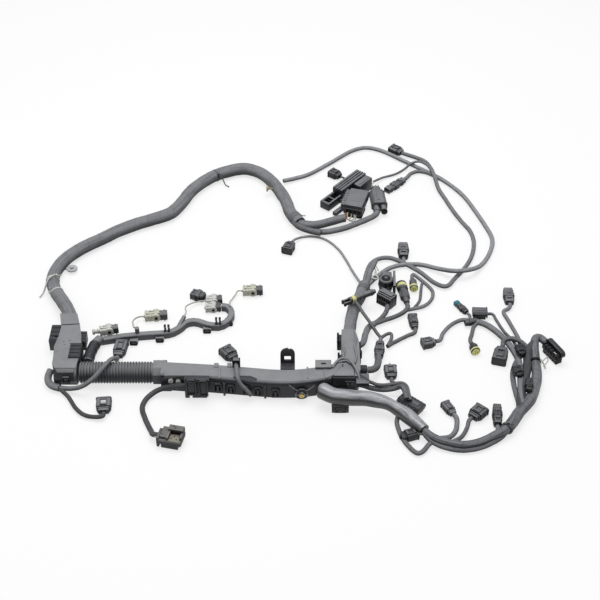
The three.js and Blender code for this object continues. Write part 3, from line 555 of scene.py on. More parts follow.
class Solids:
    """Closed shapes that become one mesh. Lengths are millimetres."""

    def __init__(self) -> None:
        """Starts with no shape and the first finish."""
        self.mesh = bmesh.new()
        self.uv = self.mesh.loops.layers.uv.new("wrap")
        self.finishes: list[Finish] = []
        self.current = 0

    def use(self, finish: Finish) -> Solids:
        """Gives the next shapes a finish.

        Args:
            finish: The finish.

        Returns:
            This object.
        """
        if finish not in self.finishes:
            self.finishes.append(finish)
        self.current = self.finishes.index(finish)
        return self

    def loft(self, rings: Sequence[Sequence[Sequence[float]]]) -> Solids:
        """Joins rings of equal length with faces and closes both ends.

        Args:
            rings: The rings, in order.

        Returns:
            This object.
        """
        made = [[self.mesh.verts.new(point) for point in ring] for ring in rings]
        faces = []
        for low, high in zip(made, made[1:]):
            for i in range(len(low)):
                j = (i + 1) % len(low)
                faces.append(self.mesh.faces.new((low[i], low[j], high[j], high[i])))
        faces.append(self.mesh.faces.new(made[0][::-1]))
        faces.append(self.mesh.faces.new(made[-1]))
        for face in faces:
            face.material_index = self.current
        return self

    def box(self, x: Span, y: Span, z: Span) -> Solids:
        """Adds a box between its limits along X, Y and Z."""
        return self.prism([(x[0], y[0]), (x[1], y[0]), (x[1], y[1]), (x[0], y[1])], z)

    def prism(self, plan: Outline, z: Span) -> Solids:
        """Adds an upright prism from its outline seen from above and its limits along Z."""
        return self.loft([[(x, y, height) for x, y in plan] for height in z])

    def bar(self, outline: Outline, x: Span) -> Solids:
        """Adds a bar from its section, across and up, and its limits along X."""
        return self.loft([[(place, y, z) for y, z in outline] for place in x])

    def plate(self, outline: Outline, y: Span) -> Solids:
        """Adds a plate that stands across Y, from its outline along X and up."""
        return self.loft([[(x, place, z) for x, z in outline] for place in y])

    def cup(self, outer: Outline, inner: Outline, x: Span, depth: float) -> Solids:
        """Adds a bar along X with a mouth in its far end. Both sections have as many corners."""
        places = ((x[0], outer), (x[1], outer), (x[1], inner), (x[1] - depth, inner))
        return self.loft([[(place, y, z) for y, z in outline] for place, outline in places])

    def turned(self, profile: Sequence[tuple[float, float]], y: float, z: float, sides: int) -> Solids:
        """Adds a round body along X.

        Args:
            profile: Places along X with the radius there.
            y: Its axis across.
            z: Its axis's height.
            sides: The number of its sides.

        Returns:
            This object.
        """
        return self.loft(
            [[(x, a, b) for a, b in round_outline(max(r, 0.02), y, z, sides)] for x, r in profile]
        )

    def post(self, x: float, y: float, profile: Sequence[tuple[float, float]], sides: int) -> Solids:
        """Adds a round upright body.

        Args:
            x: Its axis along X.
            y: Its axis along Y.
            profile: Heights with the radius there.
            sides: The number of its sides.

        Returns:
            This object.
        """
        return self.loft(
            [[(a, b, z) for a, b in round_outline(max(r, 0.02), x, y, sides)] for z, r in profile]
        )

    def knob(self, x: float, z: float, profile: Sequence[tuple[float, float]], sides: int = 20) -> Solids:
        """Adds a round body along Y, from its places along Y with the radius there."""
        return self.loft([[(a, y, b) for a, b in round_outline(r, x, z, sides)] for y, r in profile])

    def along(
        self,
        line: Sequence[Vector],
        outline: Callable[[float, int], float] | float,
        sides: int,
        pitch: float = 15.0,
    ) -> Solids:
        """Adds a round tube along a line, with a map for the wraps of its tape.

        Args:
            line: Its centreline.
            outline: Its radius, or a function of the way along and the side's number.
            sides: The number of its sides.
            pitch: The width of a wrap.

        Returns:
            This object.
        """
        frames = list(carried(line))
        way, rings = 0.0, []
        for i, (place, left, up) in enumerate(frames):
            if i:
                way += (place - frames[i - 1][0]).length
            ring = []
            for k in range(sides):
                turn = 2 * math.pi * k / sides
                radius = outline(way, k) if callable(outline) else outline
                ring.append(place + radius * (math.cos(turn) * left + math.sin(turn) * up))
            rings.append((way, ring))
        made = [[self.mesh.verts.new(point) for point in ring] for _, ring in rings]
        for row, (low, high) in enumerate(zip(made, made[1:])):
            ways = (rings[row][0] / pitch, rings[row + 1][0] / pitch)
            for i in range(sides):
                j = (i + 1) % sides
                face = self.mesh.faces.new((low[i], low[j], high[j], high[i]))
                face.material_index = self.current
                spots = ((ways[0], i), (ways[0], i + 1), (ways[1], i + 1), (ways[1], i))
                for loop, (u, v) in zip(face.loops, spots):
                    loop[self.uv].uv = (u, v / sides)
        for cap in (made[0][::-1], made[-1]):
            self.mesh.faces.new(cap).material_index = self.current
        return self

    def build(
        self, name: str, at: Point = (0, 0, 0), turn: float = 0.0, bevel: float = 0.35, sharp: float = 38.0
    ) -> bpy.types.Object:
        """Makes the object and lets it ride on the harness.

        Args:
            name: The object's name.
            at: Where its own origin goes.
            turn: How far it is turned about Z, in degrees.
            bevel: The width of its rounded edges, or 0.
            sharp: The angle above which an edge stays sharp.

        Returns:
            The object.
        """
        bmesh.ops.recalc_face_normals(self.mesh, faces=self.mesh.faces)
        place = Matrix.Translation(Vector(at) * MM) @ Matrix.Rotation(math.radians(turn), 4, "Z")
        bmesh.ops.transform(self.mesh, matrix=place @ Matrix.Diagonal((MM, MM, MM, 1)), verts=self.mesh.verts)
        data = bpy.data.meshes.new(name)
        self.mesh.to_mesh(data)
        self.mesh.free()
        for finish in self.finishes:
            data.materials.append(finish.material())
        made = bpy.data.objects.new(name, data)
        bpy.context.scene.collection.objects.link(made)
        if bevel:
            soften(made, bevel)
        shade(made, sharp)
        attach(made, BODY)
        return made


def carried(line: Sequence[Vector]) -> Iterable[tuple[Vector, Vector, Vector]]:
    """Carries a pair of cross directions along a line without twist.

    Args:
        line: The line.

    Yields:
        Each point with its two cross directions.
    """
    previous = None
    for i, place in enumerate(line):
        ahead = (line[min(i + 1, len(line) - 1)] - line[max(i - 1, 0)]).normalized()
        if previous is None:
            guess = Vector((0, 0, 1)) if abs(ahead.z) < 0.9 else Vector((1, 0, 0))
            left = guess.cross(ahead).normalized()
        else:
            left = (previous - ahead * previous.dot(ahead)).normalized()
        previous = left
        yield place, left, ahead.cross(left).normalized()


def soften(target: bpy.types.Object, width: float) -> None:
    """Rounds the edges of a mesh.

    Args:
        target: The object.
        width: The width of a rounded edge in millimetres.
    """
    modifier = target.modifiers.new("edges", "BEVEL")
    modifier.width = width * MM
    modifier.segments = EDGE_STEPS
    modifier.limit_method = "ANGLE"
    modifier.angle_limit = math.radians(EDGE_ANGLE)
    graph = bpy.context.evaluated_depsgraph_get()
    rounded = bpy.data.meshes.new_from_object(target.evaluated_get(graph))
    target.modifiers.clear()
    target.data = rounded


def shade(target: bpy.types.Object, sharp: float) -> None:
    """Shades a mesh smoothly but for its sharp edges.

    Args:
        target: The object.
        sharp: The angle above which an edge stays sharp, in degrees.
    """
    target.data.shade_smooth()
    target.data.set_sharp_from_angle(angle=math.radians(sharp))


# The plugs.


@dataclass
class Plug:
    """A plug. Its rear, where its cable comes in, is at x = 0 and its mouth looks along +X.

    Attributes:
        name: The CAD node, or the piece's own name where there is none.
        at: The rear's place on the floor.
        turn: The way it looks, in degrees about Z.
        size: Length, width and height.
        body: The finish of the housing.
        accent: The finish of its lock or second half.
        in_cad: Whether the CAD model has this plug.
    """

    name: str
    at: Point
    turn: float
    size: tuple[float, float, float]
    body: Finish = Finish.BLACK
    accent: Finish = Finish.MID
    in_cad: bool = True

    def shape(self, solids: Solids) -> None:
        """Adds the plug's own forms."""
        raise NotImplementedError

    def build(self) -> bpy.types.Object:
        """Makes the plug in place of its CAD node.

        Returns:
            The piece.
        """
        solids = Solids()
        self.shape(solids)
        piece = solids.build(f"{self.name}_look", self.at, self.turn)
        if self.in_cad:
            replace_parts(piece, self.name)
        return piece

    def entry(self) -> list[Point]:
        """Gives the two points of a cable that runs square into the rear.

        Returns:
            The cable's end and the point before it.
        """
        angle = math.radians(self.turn)
        height = self.at[2] + ENTRY_RISE * self.size[2]
        return [
            (self.at[0] - gap * math.cos(angle), self.at[1] - gap * math.sin(angle), height)
            for gap in (TOUCH, PLUG_LEAD)
        ]

    def latch(self, solids: Solids, x: Span, half: float, z: Span) -> None:
        """Adds a spring latch: two thin arms with a bar at both ends.

        Args:
            solids: Takes the forms.
            x: Its limits along X.
            half: Half of its width.
            z: Its limits in height.
        """
        arm = max(0.9, 0.25 * half)
        for side in (-1, 1):
            edges = sorted((side * half, side * (half - arm)))
            solids.box(x, (edges[0], edges[1]), z)
        reach = x[1] - x[0]
        solids.box((x[0], x[0] + 0.2 * reach), (-half, half), (z[0] + 0.2, z[1] + 0.5))
        solids.box((x[1] - 0.26 * reach, x[1] - 0.08 * reach), (-half, half), (z[0], z[1]))


class SocketPlug(Plug):
    """A single housing with an open mouth, a latch on top and ribs at its sides."""

    def shape(self, solids: Solids) -> None:
        """Adds the plug's own forms.

        Args:
            solids: Takes the forms.
        """
        length, width, height = self.size
        shell = 0.86 * height
        start = 0.3 * length
        solids.use(self.body).bar(
            cut_rectangle(0.76 * width, 0.6 * height, 1.4, 0.12 * height), (0.8, start + 1)
        )
        solids.bar(cut_rectangle(0.9 * width, 0.72 * height, 1.2, 0.06 * height), (0.6 * start, 0.82 * start))
        solids.use(Finish.INNER).turned(
            [(-1.6, 0.16 * height), (-1.2, 0.24 * height), (1.2, 0.24 * height)], 0, 0.45 * height, 14
        )
        outer = cut_rectangle(width, shell, 1.6)
        inner = cut_rectangle(width - 3, shell - 3, 1.0, 1.5)
        solids.use(self.body).cup(outer, inner, (start, length), 0.5 * length)
        solids.use(Finish.INNER).bar(
            cut_rectangle(0.56 * width, 0.42 * shell, 0.6, 0.28 * shell), (0.5 * length, length - 2.4)
        )
        solids.use(Finish.STEEL)
        for across in (-0.14, 0.14):
            solids.box(
                (length - 2.6, length - 1.6), (across * width - 0.6, across * width + 0.6),
                (0.42 * shell, 0.56 * shell),
            )
        solids.use(self.accent)
        for x in (0.46, 0.56, 0.66):
            solids.bar(
                cut_rectangle(width + 1.2, 0.46 * height, 1.0, 0.17 * height),
                (x * length, (x + 0.045) * length),
            )
        solids.bar(cut_rectangle(width + 1.4, shell + 0.5, 1.7, -0.1), (length - 2.2, length - 0.6))
        self.latch(solids, (0.32 * length, 0.9 * length), 0.24 * width, (shell - 0.4, height - 0.5))


@dataclass
class InlinePlug(Plug):
    """Two slim plugs pushed together, with a collar and a clip between them.

    Attributes:
        pair: The share of the length that the two plugs take.
    """

    pair: float = 1.0

    def shape(self, solids: Solids) -> None:
        """Adds the plug's own forms.

        Args:
            solids: Takes the forms.
        """
        length, width, height = self.size
        length *= self.pair
        solids.use(self.body).bar(
            cut_rectangle(0.8 * width, 0.72 * height, 1.4, 0.1 * height), (0.8, 0.44 * length)
        )
        solids.use(Finish.INNER).turned(
            [(-1.4, 0.16 * height), (-1.0, 0.25 * height), (1.2, 0.25 * height)], 0, 0.45 * height, 14
        )
        solids.use(self.body)
        solids.bar(
            cut_rectangle(0.9 * width, 0.8 * height, 1.2, 0.05 * height), (0.16 * length, 0.21 * length)
        )
        solids.bar(
            cut_rectangle(0.9 * width, 0.8 * height, 1.2, 0.05 * height), (0.26 * length, 0.3 * length)
        )
        solids.use(self.accent).bar(cut_rectangle(width, 0.88 * height, 1.6), (0.41 * length, 0.66 * length))
        solids.bar(
            cut_rectangle(width + 1.2, 0.5 * height, 1.0, 0.18 * height), (0.48 * length, 0.6 * length)
        )
        outer = cut_rectangle(0.86 * width, 0.76 * height, 1.4, 0.05 * height)
        inner = cut_rectangle(0.86 * width - 2.6, 0.76 * height - 2.6, 0.9, 0.05 * height + 1.3)
        solids.use(self.body).cup(outer, inner, (0.62 * length, length), 0.2 * length)
        solids.bar(
            cut_rectangle(0.94 * width, 0.82 * height, 1.4, 0.02 * height), (0.8 * length, 0.85 * length)
        )
        solids.use(Finish.INNER).bar(
            cut_rectangle(0.4 * width, 0.3 * height, 0.6, 0.28 * height), (0.7 * length, 0.95 * length)
        )
        self.latch(
            solids.use(self.body), (0.2 * length, 0.74 * length), 0.2 * width, (0.8 * height, height - 0.6)
        )


@dataclass
class TippedPlug(InlinePlug):
    """A slim pair of plugs with a coloured tip.

    Attributes:
        tip: The tip's finish.
    """

    pair: float = 0.74
    tip: Finish = Finish.TEAL

    def shape(self, solids: Solids) -> None:
        """Adds the plug's own forms.

        Args:
            solids: Takes the forms.
        """
        length, width, height = self.size
        super().shape(solids)
        solids.use(self.tip).bar(
            cut_rectangle(0.66 * width, 0.6 * height, 1.0, 0.14 * height), (0.62 * length, 0.97 * length)
        )
        solids.bar(cut_rectangle(0.86 * width, 0.76 * height, 1.0, 0.06 * height), (0.8 * length, length))
        solids.use(Finish.INNER).box(
            (0.9 * length, length + 0.1), (-0.14 * width, 0.14 * width), (0.3 * height, 0.62 * height)
        )


class CoilPlug(Plug):
    """A plug for an ignition coil: a pale lock, a drum across it and a dark nose."""

    def shape(self, solids: Solids) -> None:
        """Adds the plug's own forms.

        Args:
            solids: Takes the forms.
        """
        length, width, height = self.size
        middle = 0.5 * height
        solids.use(self.accent).bar(
            cut_rectangle(width, 0.82 * height, 1.4, 0.06 * height), (1.0, 0.44 * length)
        )
        solids.box(
            (0.06 * length, 0.13 * length), (-0.55 * width, 0.55 * width), (0.12 * height, 0.84 * height)
        )
        solids.box(
            (0.24 * length, 0.3 * length), (-0.55 * width, 0.55 * width), (0.12 * height, 0.84 * height)
        )
        solids.turned([(-1.0, 1.6), (0, 2.4), (2, 2.4)], 0, 0.45 * height, 12)
        half, drum = width / 2 + 0.75, 0.52 * length
        solids.knob(drum, middle, [(-half, 0.45 * height), (half, 0.45 * height)], 24)
        solids.use(Finish.INNER)
        solids.knob(drum, middle, [(-half - 0.3, 0.2 * height), (half + 0.3, 0.2 * height)], 16)
        outer = cut_rectangle(0.86 * width, 0.8 * height, 1.4, 0.06 * height)
        inner = cut_rectangle(0.86 * width - 2.6, 0.8 * height - 2.6, 0.9, 0.06 * height + 1.3)
        solids.use(self.body).cup(outer, inner, (0.5 * length, length), 0.22 * length)
        solids.bar(cut_rectangle(width, 0.9 * height, 1.6, 0.01 * height), (0.84 * length, 0.92 * length))
        solids.bar(
            cut_rectangle(0.94 * width, 0.86 * height, 1.6, 0.03 * height), (0.7 * length, 0.75 * length)
        )
        solids.use(Finish.INNER).bar(
            cut_rectangle(0.4 * width, 0.3 * height, 0.6, 0.3 * height), (0.8 * length, 0.97 * length)
        )
        self.latch(
            solids.use(self.accent), (0.1 * length, 0.72 * length), 0.24 * width,
            (0.82 * height, height - 0.5),
        )


@dataclass
class RoundPlug(Plug):
    """A round plug with a coloured ring near its mouth.

    Attributes:
        ring: The ring's finish.
        face: The finish of the disc in its mouth.
    """

    ring: Finish = Finish.YELLOW
    face: Finish = Finish.INNER

    def shape(self, solids: Solids) -> None:
        """Adds the plug's own forms.

        Args:
            solids: Takes the forms.
        """
        length, width, _ = self.size
        radius, axis = width / 2, width / 2

        def scaled(stations: Sequence[tuple[float, float]]) -> list[tuple[float, float]]:
            """Turns shares of the length and of the radius into a profile."""
            return [(x * length, r * radius) for x, r in stations]

        shell = [
            (0.03, 0.52), (0.2, 0.6), (0.24, 0.82), (0.56, 0.84), (0.6, 0.72), (0.64, 0.72), (0.68, 0.97)
        ]
        rim = [(length - 0.5, 0.97 * radius), (length, 0.9 * radius), (length, 0.76 * radius)]
        mouth = (length - 0.22 * length, 0.72 * radius)
        solids.use(self.body).turned([(0.5, 0.4 * radius), *scaled(shell), *rim, mouth], 0, axis, 28)
        solids.use(self.ring).turned(scaled([(0.76, 0.9), (0.765, 1), (0.9, 1), (0.905, 0.9)]), 0, axis, 28)
        disc, reach = (0.84, 1.03) if self.face is Finish.YELLOW else (0.6, 0.94)
        plate = scaled([(0.7, disc), (reach, disc), (reach + 0.02, 0.8 * disc)])
        solids.use(self.face).turned(plate, 0, axis, 24)
        solids.use(Finish.INNER)
        for angle in range(0, 360, 120):
            turn = math.radians(angle)
            y, z = 0.28 * radius * math.cos(turn), axis + 0.28 * radius * math.sin(turn)
            solids.turned([(reach * length, 0.9), ((reach + 0.03) * length, 0.9)], y, z, 10)
        solids.use(self.accent)
        for angle in range(30, 390, 60):
            turn = math.radians(angle)
            y, z = 0.82 * radius * math.cos(turn), axis + 0.82 * radius * math.sin(turn)
            solids.box((0.28 * length, 0.54 * length), (y - 0.7, y + 0.7), (z - 0.7, z + 0.7))


class RodPlug(Plug):
    """A slim rod with a yellow ring round it and a forked end."""

    def shape(self, solids: Solids) -> None:
        """Adds the plug's own forms.

        Args:
            solids: Takes the forms.
        """
        length, width, height = self.size
        solids.use(self.body).bar(
            cut_rectangle(0.76 * width, 0.76 * height, 1.6, 0.12 * height), (0.2 * length, length - 3)
        )
        solids.bar(cut_rectangle(0.6 * width, 0.6 * height, 1.6, 0.2 * height), (length - 4, length))
        for x in (0.5, 0.62, 0.86):
            solids.bar(
                cut_rectangle(0.86 * width, 0.86 * height, 1.6, 0.07 * height),
                (x * length, (x + 0.03) * length),
            )
        solids.use(Finish.YELLOW).bar(cut_rectangle(width, height, 2.2), (0.27 * length, 0.37 * length))
        solids.use(self.accent).bar(
            cut_rectangle(0.9 * width, 0.9 * height, 1.6, 0.05 * height), (0.2 * length, 0.25 * length)
        )
        for side in (-0.32, 0.32):
            across = side * width
            solids.box((0, 0.22 * length), (across - 1.2, across + 1.2), (0.25 * height, 0.75 * height))
            solids.box((0, 0.05 * length), (across - 1.7, across + 1.7), (0.2 * height, 0.8 * height))


class ControlPlug(Plug):
    """A long multi-way plug with a hood over its cables and ribs along its back."""

    def shape(self, solids: Solids) -> None:
        """Adds the plug's own forms.

        Args:
            solids: Takes the forms.
        """
        length, width, height = self.size
        solids.use(self.body).bar(cut_rectangle(width, 0.6 * height, 2.6, 0.38 * height), (0.6, length))
        solids.bar(cut_rectangle(0.8 * width, 0.5 * height, 1.2), (0.12 * length, 0.94 * length))
        solids.use(self.accent)
        for x in (0.2, 0.34, 0.48, 0.62, 0.76):
            solids.bar(
                cut_rectangle(1.08 * width, 0.38 * height, 1.2, 0.48 * height),
                (x * length, x * length + 1.6),
            )
        solids.bar(
            cut_rectangle(0.36 * width, 0.1 * height, 0.6, 0.93 * height), (0.14 * length, 0.86 * length)
        )
        solids.use(Finish.INNER)
        for x in (0.22, 0.36, 0.5, 0.64, 0.78):
            solids.box(
                (x * length - 1.2, x * length + 1.2), (-0.41 * width, 0.41 * width),
                (0.12 * height, 0.3 * height),
            )
        solids.use(self.body).box(
            (0.02 * length, 0.1 * length), (-0.56 * width, 0.56 * width), (0.4 * height, 0.86 * height)
        )


class HoodPlug(Plug):
    """A long dark plug that lies on its side: a smooth hood with round ends over open cells."""

    def shape(self, solids: Solids) -> None:
        """Adds the plug's own forms.

        Args:
            solids: Takes the forms.
        """
        length, width, height = self.size
        end = 0.24 * height
        hood = [(0.8, 0.34 * height)]
        hood += [
            (length - end + end * math.cos(a), 0.66 * height + end * math.sin(a))
            for a in (-1.3, -0.8, -0.3, 0.3, 0.8, 1.3)
        ]
        hood += [(5, 0.96 * height), (0.8, 0.84 * height)]
        solids.use(self.body).plate(hood, (-0.16 * width, 0.24 * width))
        cells = (-0.46 * width, 0.1 * width)
        solids.use(self.accent).box((0.1 * length, 0.92 * length), cells, (0.04 * height, 0.66 * height))
        solids.use(self.body)
        for x in (0.18, 0.34, 0.5, 0.66, 0.82):
            solids.box((x * length, x * length + 1.6), (-0.5 * width, 0), (0.06 * height, 0.7 * height))
        solids.box((0.1 * length, 0.92 * length), (-0.5 * width, -0.42 * width), (0.3 * height, 0.4 * height))
        solids.use(Finish.WIRE).box(
            (0.66 * length, 0.8 * length), (-0.4 * width, -0.32 * width), (0.69 * height, 0.72 * height)
        )
        solids.use(self.body).box(
            (0.02 * length, 0.12 * length), (-0.46 * width, 0.24 * width), (0.3 * height, 0.76 * height)
        )


class BlockPlug(Plug):
    """A dusty block with a flange and wires at its rear, and a recess under a raised hood."""

    def shape(self, solids: Solids) -> None:
        """Adds the plug's own forms.

        Args:
            solids: Takes the forms.
        """
        length, width, height = self.size
        half, floor = 0.5 * width, 0.62 * height
        solids.use(Finish.BLACK).box((0.6, 4), (-0.9 * half, 0.7 * half), (0, 0.72 * height))
        solids.box((0.2 * length, 0.88 * length), (-0.94 * half, 0.9 * half), (0, 0.3 * height))
        solids.use(self.body).bar(
            cut_rectangle(width, floor - 0.26 * height, 1.6, 0.26 * height), (3.2, length)
        )
        solids.box((0.14 * length, 0.42 * length), (-0.66 * half, 0.96 * half), (floor - 0.4, 0.78 * height))
        solids.box((0.4 * length, length), (0.26 * half, half), (floor - 0.4, height))
        solids.box((0.4 * length, 0.5 * length), (-0.84 * half, 0.3 * half), (floor - 0.4, 0.84 * height))
        solids.box((0.92 * length, length), (-0.5 * half, 0.3 * half), (floor - 0.4, 0.82 * height))
        solids.use(Finish.SAND).box(
            (0.49 * length, 0.93 * length), (-0.9 * half, 0.27 * half), (floor - 0.4, floor + 0.5)
        )
        solids.box(
            (0.45 * length, 0.49 * length), (-0.76 * half, 0.24 * half), (0.83 * height, 0.86 * height)
        )
        solids.use(Finish.INNER).box(
            (0.52 * length, 0.9 * length), (0.2 * half, 0.29 * half), (floor + 0.2, 0.9 * height)
        )
        for x, y in ((0.56, 0.72), (0.64, 0.46)):
            solids.box(
                (x * length, x * length + 2.2), (y * half, y * half + 2), (0.98 * height, height + 0.3)
            )
        for x, y in ((0.56, -0.5), (0.66, -0.2), (0.78, -0.62), (0.84, -0.1)):
            solids.box((x * length, x * length + 1.5), (y * half, y * half + 1.8), (floor, floor + 0.9))
        for x, y in ((0.2, -0.3), (0.3, 0.4)):
            solids.box(
                (x * length, x * length + 1.6), (y * half, y * half + 1.6), (0.7 * height, 0.79 * height)
            )
        for finish, shift in ((Finish.WIRE, 4.4), (Finish.BLACK, -0.4), (Finish.WIRE, -4.8)):
            wire = [
                (2, shift, 0.45 * height), (-2.4, 0.8 * shift, 0.46 * height),
                (-7, 0.3 * shift, 0.42 * height),
            ]
            solids.use(finish).along(spline(wire, 1.2), 1.0, 8)


@dataclass
class BankPlug(Plug):
    """A wide plug with a bank of cells that is turned, and a round boss with a lever behind it.

    Attributes:
        bank_turn: The turn of the bank in degrees.
        bank_place: How far the bank's middle is from the plug's rear.
    """

    bank_turn: float = -38
    bank_place: float = 17

    def slab(self, solids: Solids, x: Span, y: Span, z: Span) -> None:
        """Adds a box that is turned with the bank of cells.

        Args:
            solids: Takes the form.
            x: Its limits along the way that the bank looks, from its middle.
            y: Its limits across.
            z: Its limits in height.
        """
        turn = Matrix.Rotation(math.radians(self.bank_turn), 2)
        corners = [
            turn @ Vector(corner) for corner in ((x[0], y[0]), (x[1], y[0]), (x[1], y[1]), (x[0], y[1]))
        ]
        solids.prism([(corner.x + self.bank_place, corner.y) for corner in corners], z)

    def shape(self, solids: Solids) -> None:
        """Adds the plug's own forms.

        Args:
            solids: Takes the forms.
        """
        length, width, height = self.size
        half, front, top = 0.5 * width, -9.0, 0.86 * height
        self.slab(
            solids.use(Finish.INNER), (front + 1.2, front + 4), (-half + 0.6, half - 0.6), (0.6, top - 0.6)
        )
        solids.use(self.accent)
        for i in range(7):
            across = -half + i * (width - 1.0) / 6
            self.slab(solids, (front, front + 3), (across, across + 1.0), (0, top))
        for low in (0, 0.44 * top, top - 1.0):
            self.slab(solids, (front, front + 3), (-half, half), (low, low + 1.0))
        self.slab(solids.use(self.body), (front + 3, 7), (-half, half), (0, 0.94 * height))
        self.slab(solids, (front + 5, 3), (-0.8 * half, 0.8 * half), (0.9 * height, 1.04 * height))
        self.slab(solids.use(self.accent), (-4, -2), (-half - 0.6, half + 0.6), (0.5 * height, 0.98 * height))
        self.slab(solids, (3, 5), (-half - 0.6, half + 0.6), (0.3 * height, 0.99 * height))
        boss, across, radius = 0.66 * length, 0.06 * width, 0.42 * width
        solids.use(Finish.BLACK).post(
            boss, across, [(0, 0.8 * radius), (0.5 * height, radius), (1.1 * height, radius)], 28
        )
        solids.use(self.accent)
        for low, share in ((0.6, 1.06), (1.08, 0.94)):
            solids.post(
                boss, across, [(low * height, share * radius), (low * height + 2, share * radius)], 28
            )
        solids.use(Finish.INNER).post(
            boss, across, [(1.1 * height, 0.62 * radius), (1.21 * height, 0.62 * radius)], 24
        )
        solids.use(Finish.BLACK).post(
            boss, across, [(1.1 * height, 0.3 * radius), (1.26 * height, 0.26 * radius)], 16
        )
        solids.use(self.body).box(
            (0.42 * length, 0.94 * length), (-0.5 * width, -0.36 * width), (0.2 * height, 1.16 * height)
        )
        solids.bar(cut_rectangle(0.6 * width, 0.6 * height, 1.8, 0.3 * height), (0.8 * length, length))


# The cables and their ties.


@dataclass
class Cable:
    """A cable with its tape. Its last point is where it leaves the trunk or the object.

    Attributes:
        name: The piece's name.
        node: The CAD node that it helps to stand for, or an empty text.
        diameter: Its diameter.
        points: Its route, from its far end.
        plug: The plug at its far end, if it has one.
        finish: Its finish.
        free: Whether it counts as a free cord. Short tails and stretches held at both ends don't.
        wrap: The width of a wrap of its tape.
        slim: The share of the diameter that is left at its far end and at its last point.
        bulge: The size of its long lumps, as a share of its radius.
        ripple: The size of its short lumps, as a share of its radius.
    """

    name: str
    node: str
    diameter: float
    points: list[Point]
    plug: str = ""
    finish: Finish = Finish.LOOM
    free: bool = True
    wrap: float = 15.0
    slim: tuple[float, float] = (1.0, 1.0)
    bulge: float = 0.07
    ripple: float = 0.025

    def line(self, plugs: dict[str, Plug]) -> list[Vector]:
        """Gives the centreline.

        Args:
            plugs: The plugs by name.

        Returns:
            Its points.
        """
        ends = plugs[self.plug].entry() if self.plug else []
        spacing = min(3.0, max(1.2, 0.28 * self.diameter))
        return eased(spline([*ends, *self.points], spacing), 3)

    def radius(self, way: float, side: int, sides: int) -> float:
        """Gives the radius with the tape's steps and the bundle's small bulges.

        Args:
            way: The way along.
            side: The side's number.
            sides: The number of sides.

        Returns:
            The radius.
        """
        seed = sum(map(ord, self.name)) % 97
        turn = 2 * math.pi * side / sides
        lump = noise.noise(Vector((way / 26, 0.6 * math.cos(turn), 0.6 * math.sin(turn) + seed)))
        fine = noise.noise(Vector((way / 7, 1.5 * math.cos(turn) + seed, 1.5 * math.sin(turn))))
        step = (way / self.wrap + side / sides) % 1.0
        base = self.diameter / 2
        tape = min(0.22, 0.035 * base)
        return base * (1 + self.bulge * lump + self.ripple * fine) + tape * (step - 0.5)

    def slimmed(self, share: float) -> float:
        """Gives the share of the full diameter, which drops towards the two ends.

        Args:
            share: The way along as a share of the cable's length.

        Returns:
            The share of the diameter.
        """
        start_reach, end_from, end_reach = 0.4, 0.6, 0.12
        start = max(0.0, 1 - share / start_reach)
        end = min(1.0, max(0.0, (share - end_from) / end_reach))
        return 1 - (1 - self.slim[0]) * start - (1 - self.slim[1]) * end

    def build(self, plugs: dict[str, Plug]) -> bpy.types.Object:
        """Makes the cable in place of its CAD solid.

        Args:
            plugs: The plugs by name.

        Returns:
            The piece.
        """
        line = self.line(plugs)
        reach = length_of(line)
        sides = 24 if self.diameter > 11 else 16 if self.diameter > 4.2 else 10
        solids = Solids().use(self.finish)

        def outline(way: float, side: int) -> float:
            """Gives the tube's radius at a way along it."""
            return self.slimmed(way / reach) * self.radius(way, side, sides)

        solids.along(line, outline, sides, self.wrap)
        piece = solids.build(f"cable_{self.name}", bevel=0)
        if self.node:
            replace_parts(piece, self.node)
        return piece

    def declare(self, piece: bpy.types.Object, plugs: dict[str, Plug]) -> None:
        """Works out the cable's centreline and its length in metres, and keeps neither.

        Args:
            piece: The cable's piece. Not used.
            plugs: The plugs by name.
        """
        line = self.line(plugs)
        length_of(line) * MM
        [tuple(p * MM) for p in line]


@dataclass
class Band:
    """A tie, a tape end or a clip's ring round a cable.

    Attributes:
        cable: The cable's name.
        share: Where it sits, as a share of the cable's length from its far end.
        width: Its width along the cable.
        proud: How much it stands out.
        finish: Its finish.
        head: The direction of a tie's head round the cable in degrees, or None.
    """

    cable: str
    share: float
    width: float = 3.0
    proud: float = 0.5
    finish: Finish = Finish.BLACK
    head: float | None = None

    def build(self, number: int, cable: Cable, plugs: dict[str, Plug]) -> None:
        """Makes the band.

        Args:
            number: Its number, for its name.
            cable: The cable that it is on.
            plugs: The plugs by name.
        """
        line = cable.line(plugs)
        middle = min(len(line) - 2, max(1, round(self.share * (len(line) - 1))))
        place = line[middle]
        ahead = (line[middle + 1] - line[middle - 1]).normalized()
        base = cable.diameter / 2
        half = self.width / 2
        short = [place + ahead * t for t in (-half, -0.7 * half, 0.7 * half, half)]
        radii = (base * 0.9, base + self.proud, base + self.proud, base * 0.9)
        solids = Solids().use(self.finish)
        steps = {round((p - short[0]).length, 4): r for p, r in zip(short, radii)}
        solids.along(
            short, lambda way, side: steps[min(steps, key=lambda key: abs(key - way))], 24, self.width
        )
        if self.head is not None:
            guess = Vector((0, 0, 1)) if abs(ahead.z) < 0.9 else Vector((1, 0, 0))
            left = guess.cross(ahead).normalized()
            up = ahead.cross(left)
            turn = math.radians(self.head)
            out = math.cos(turn) * left + math.sin(turn) * up
            root = place + out * (base + 0.2)
            solids.along([root, root + out * 2.2, root + out * 3.4], 1.9, 8)
            tail = out.cross(ahead)
            solids.along([root + out * 1.6, root + out * 2.6 + tail * 4, root + out * 5 + tail * 8], 0.8, 6)
        solids.build(f"band_{number}_{self.cable}", bevel=0.2)


# The tables of plugs, cables and ties.

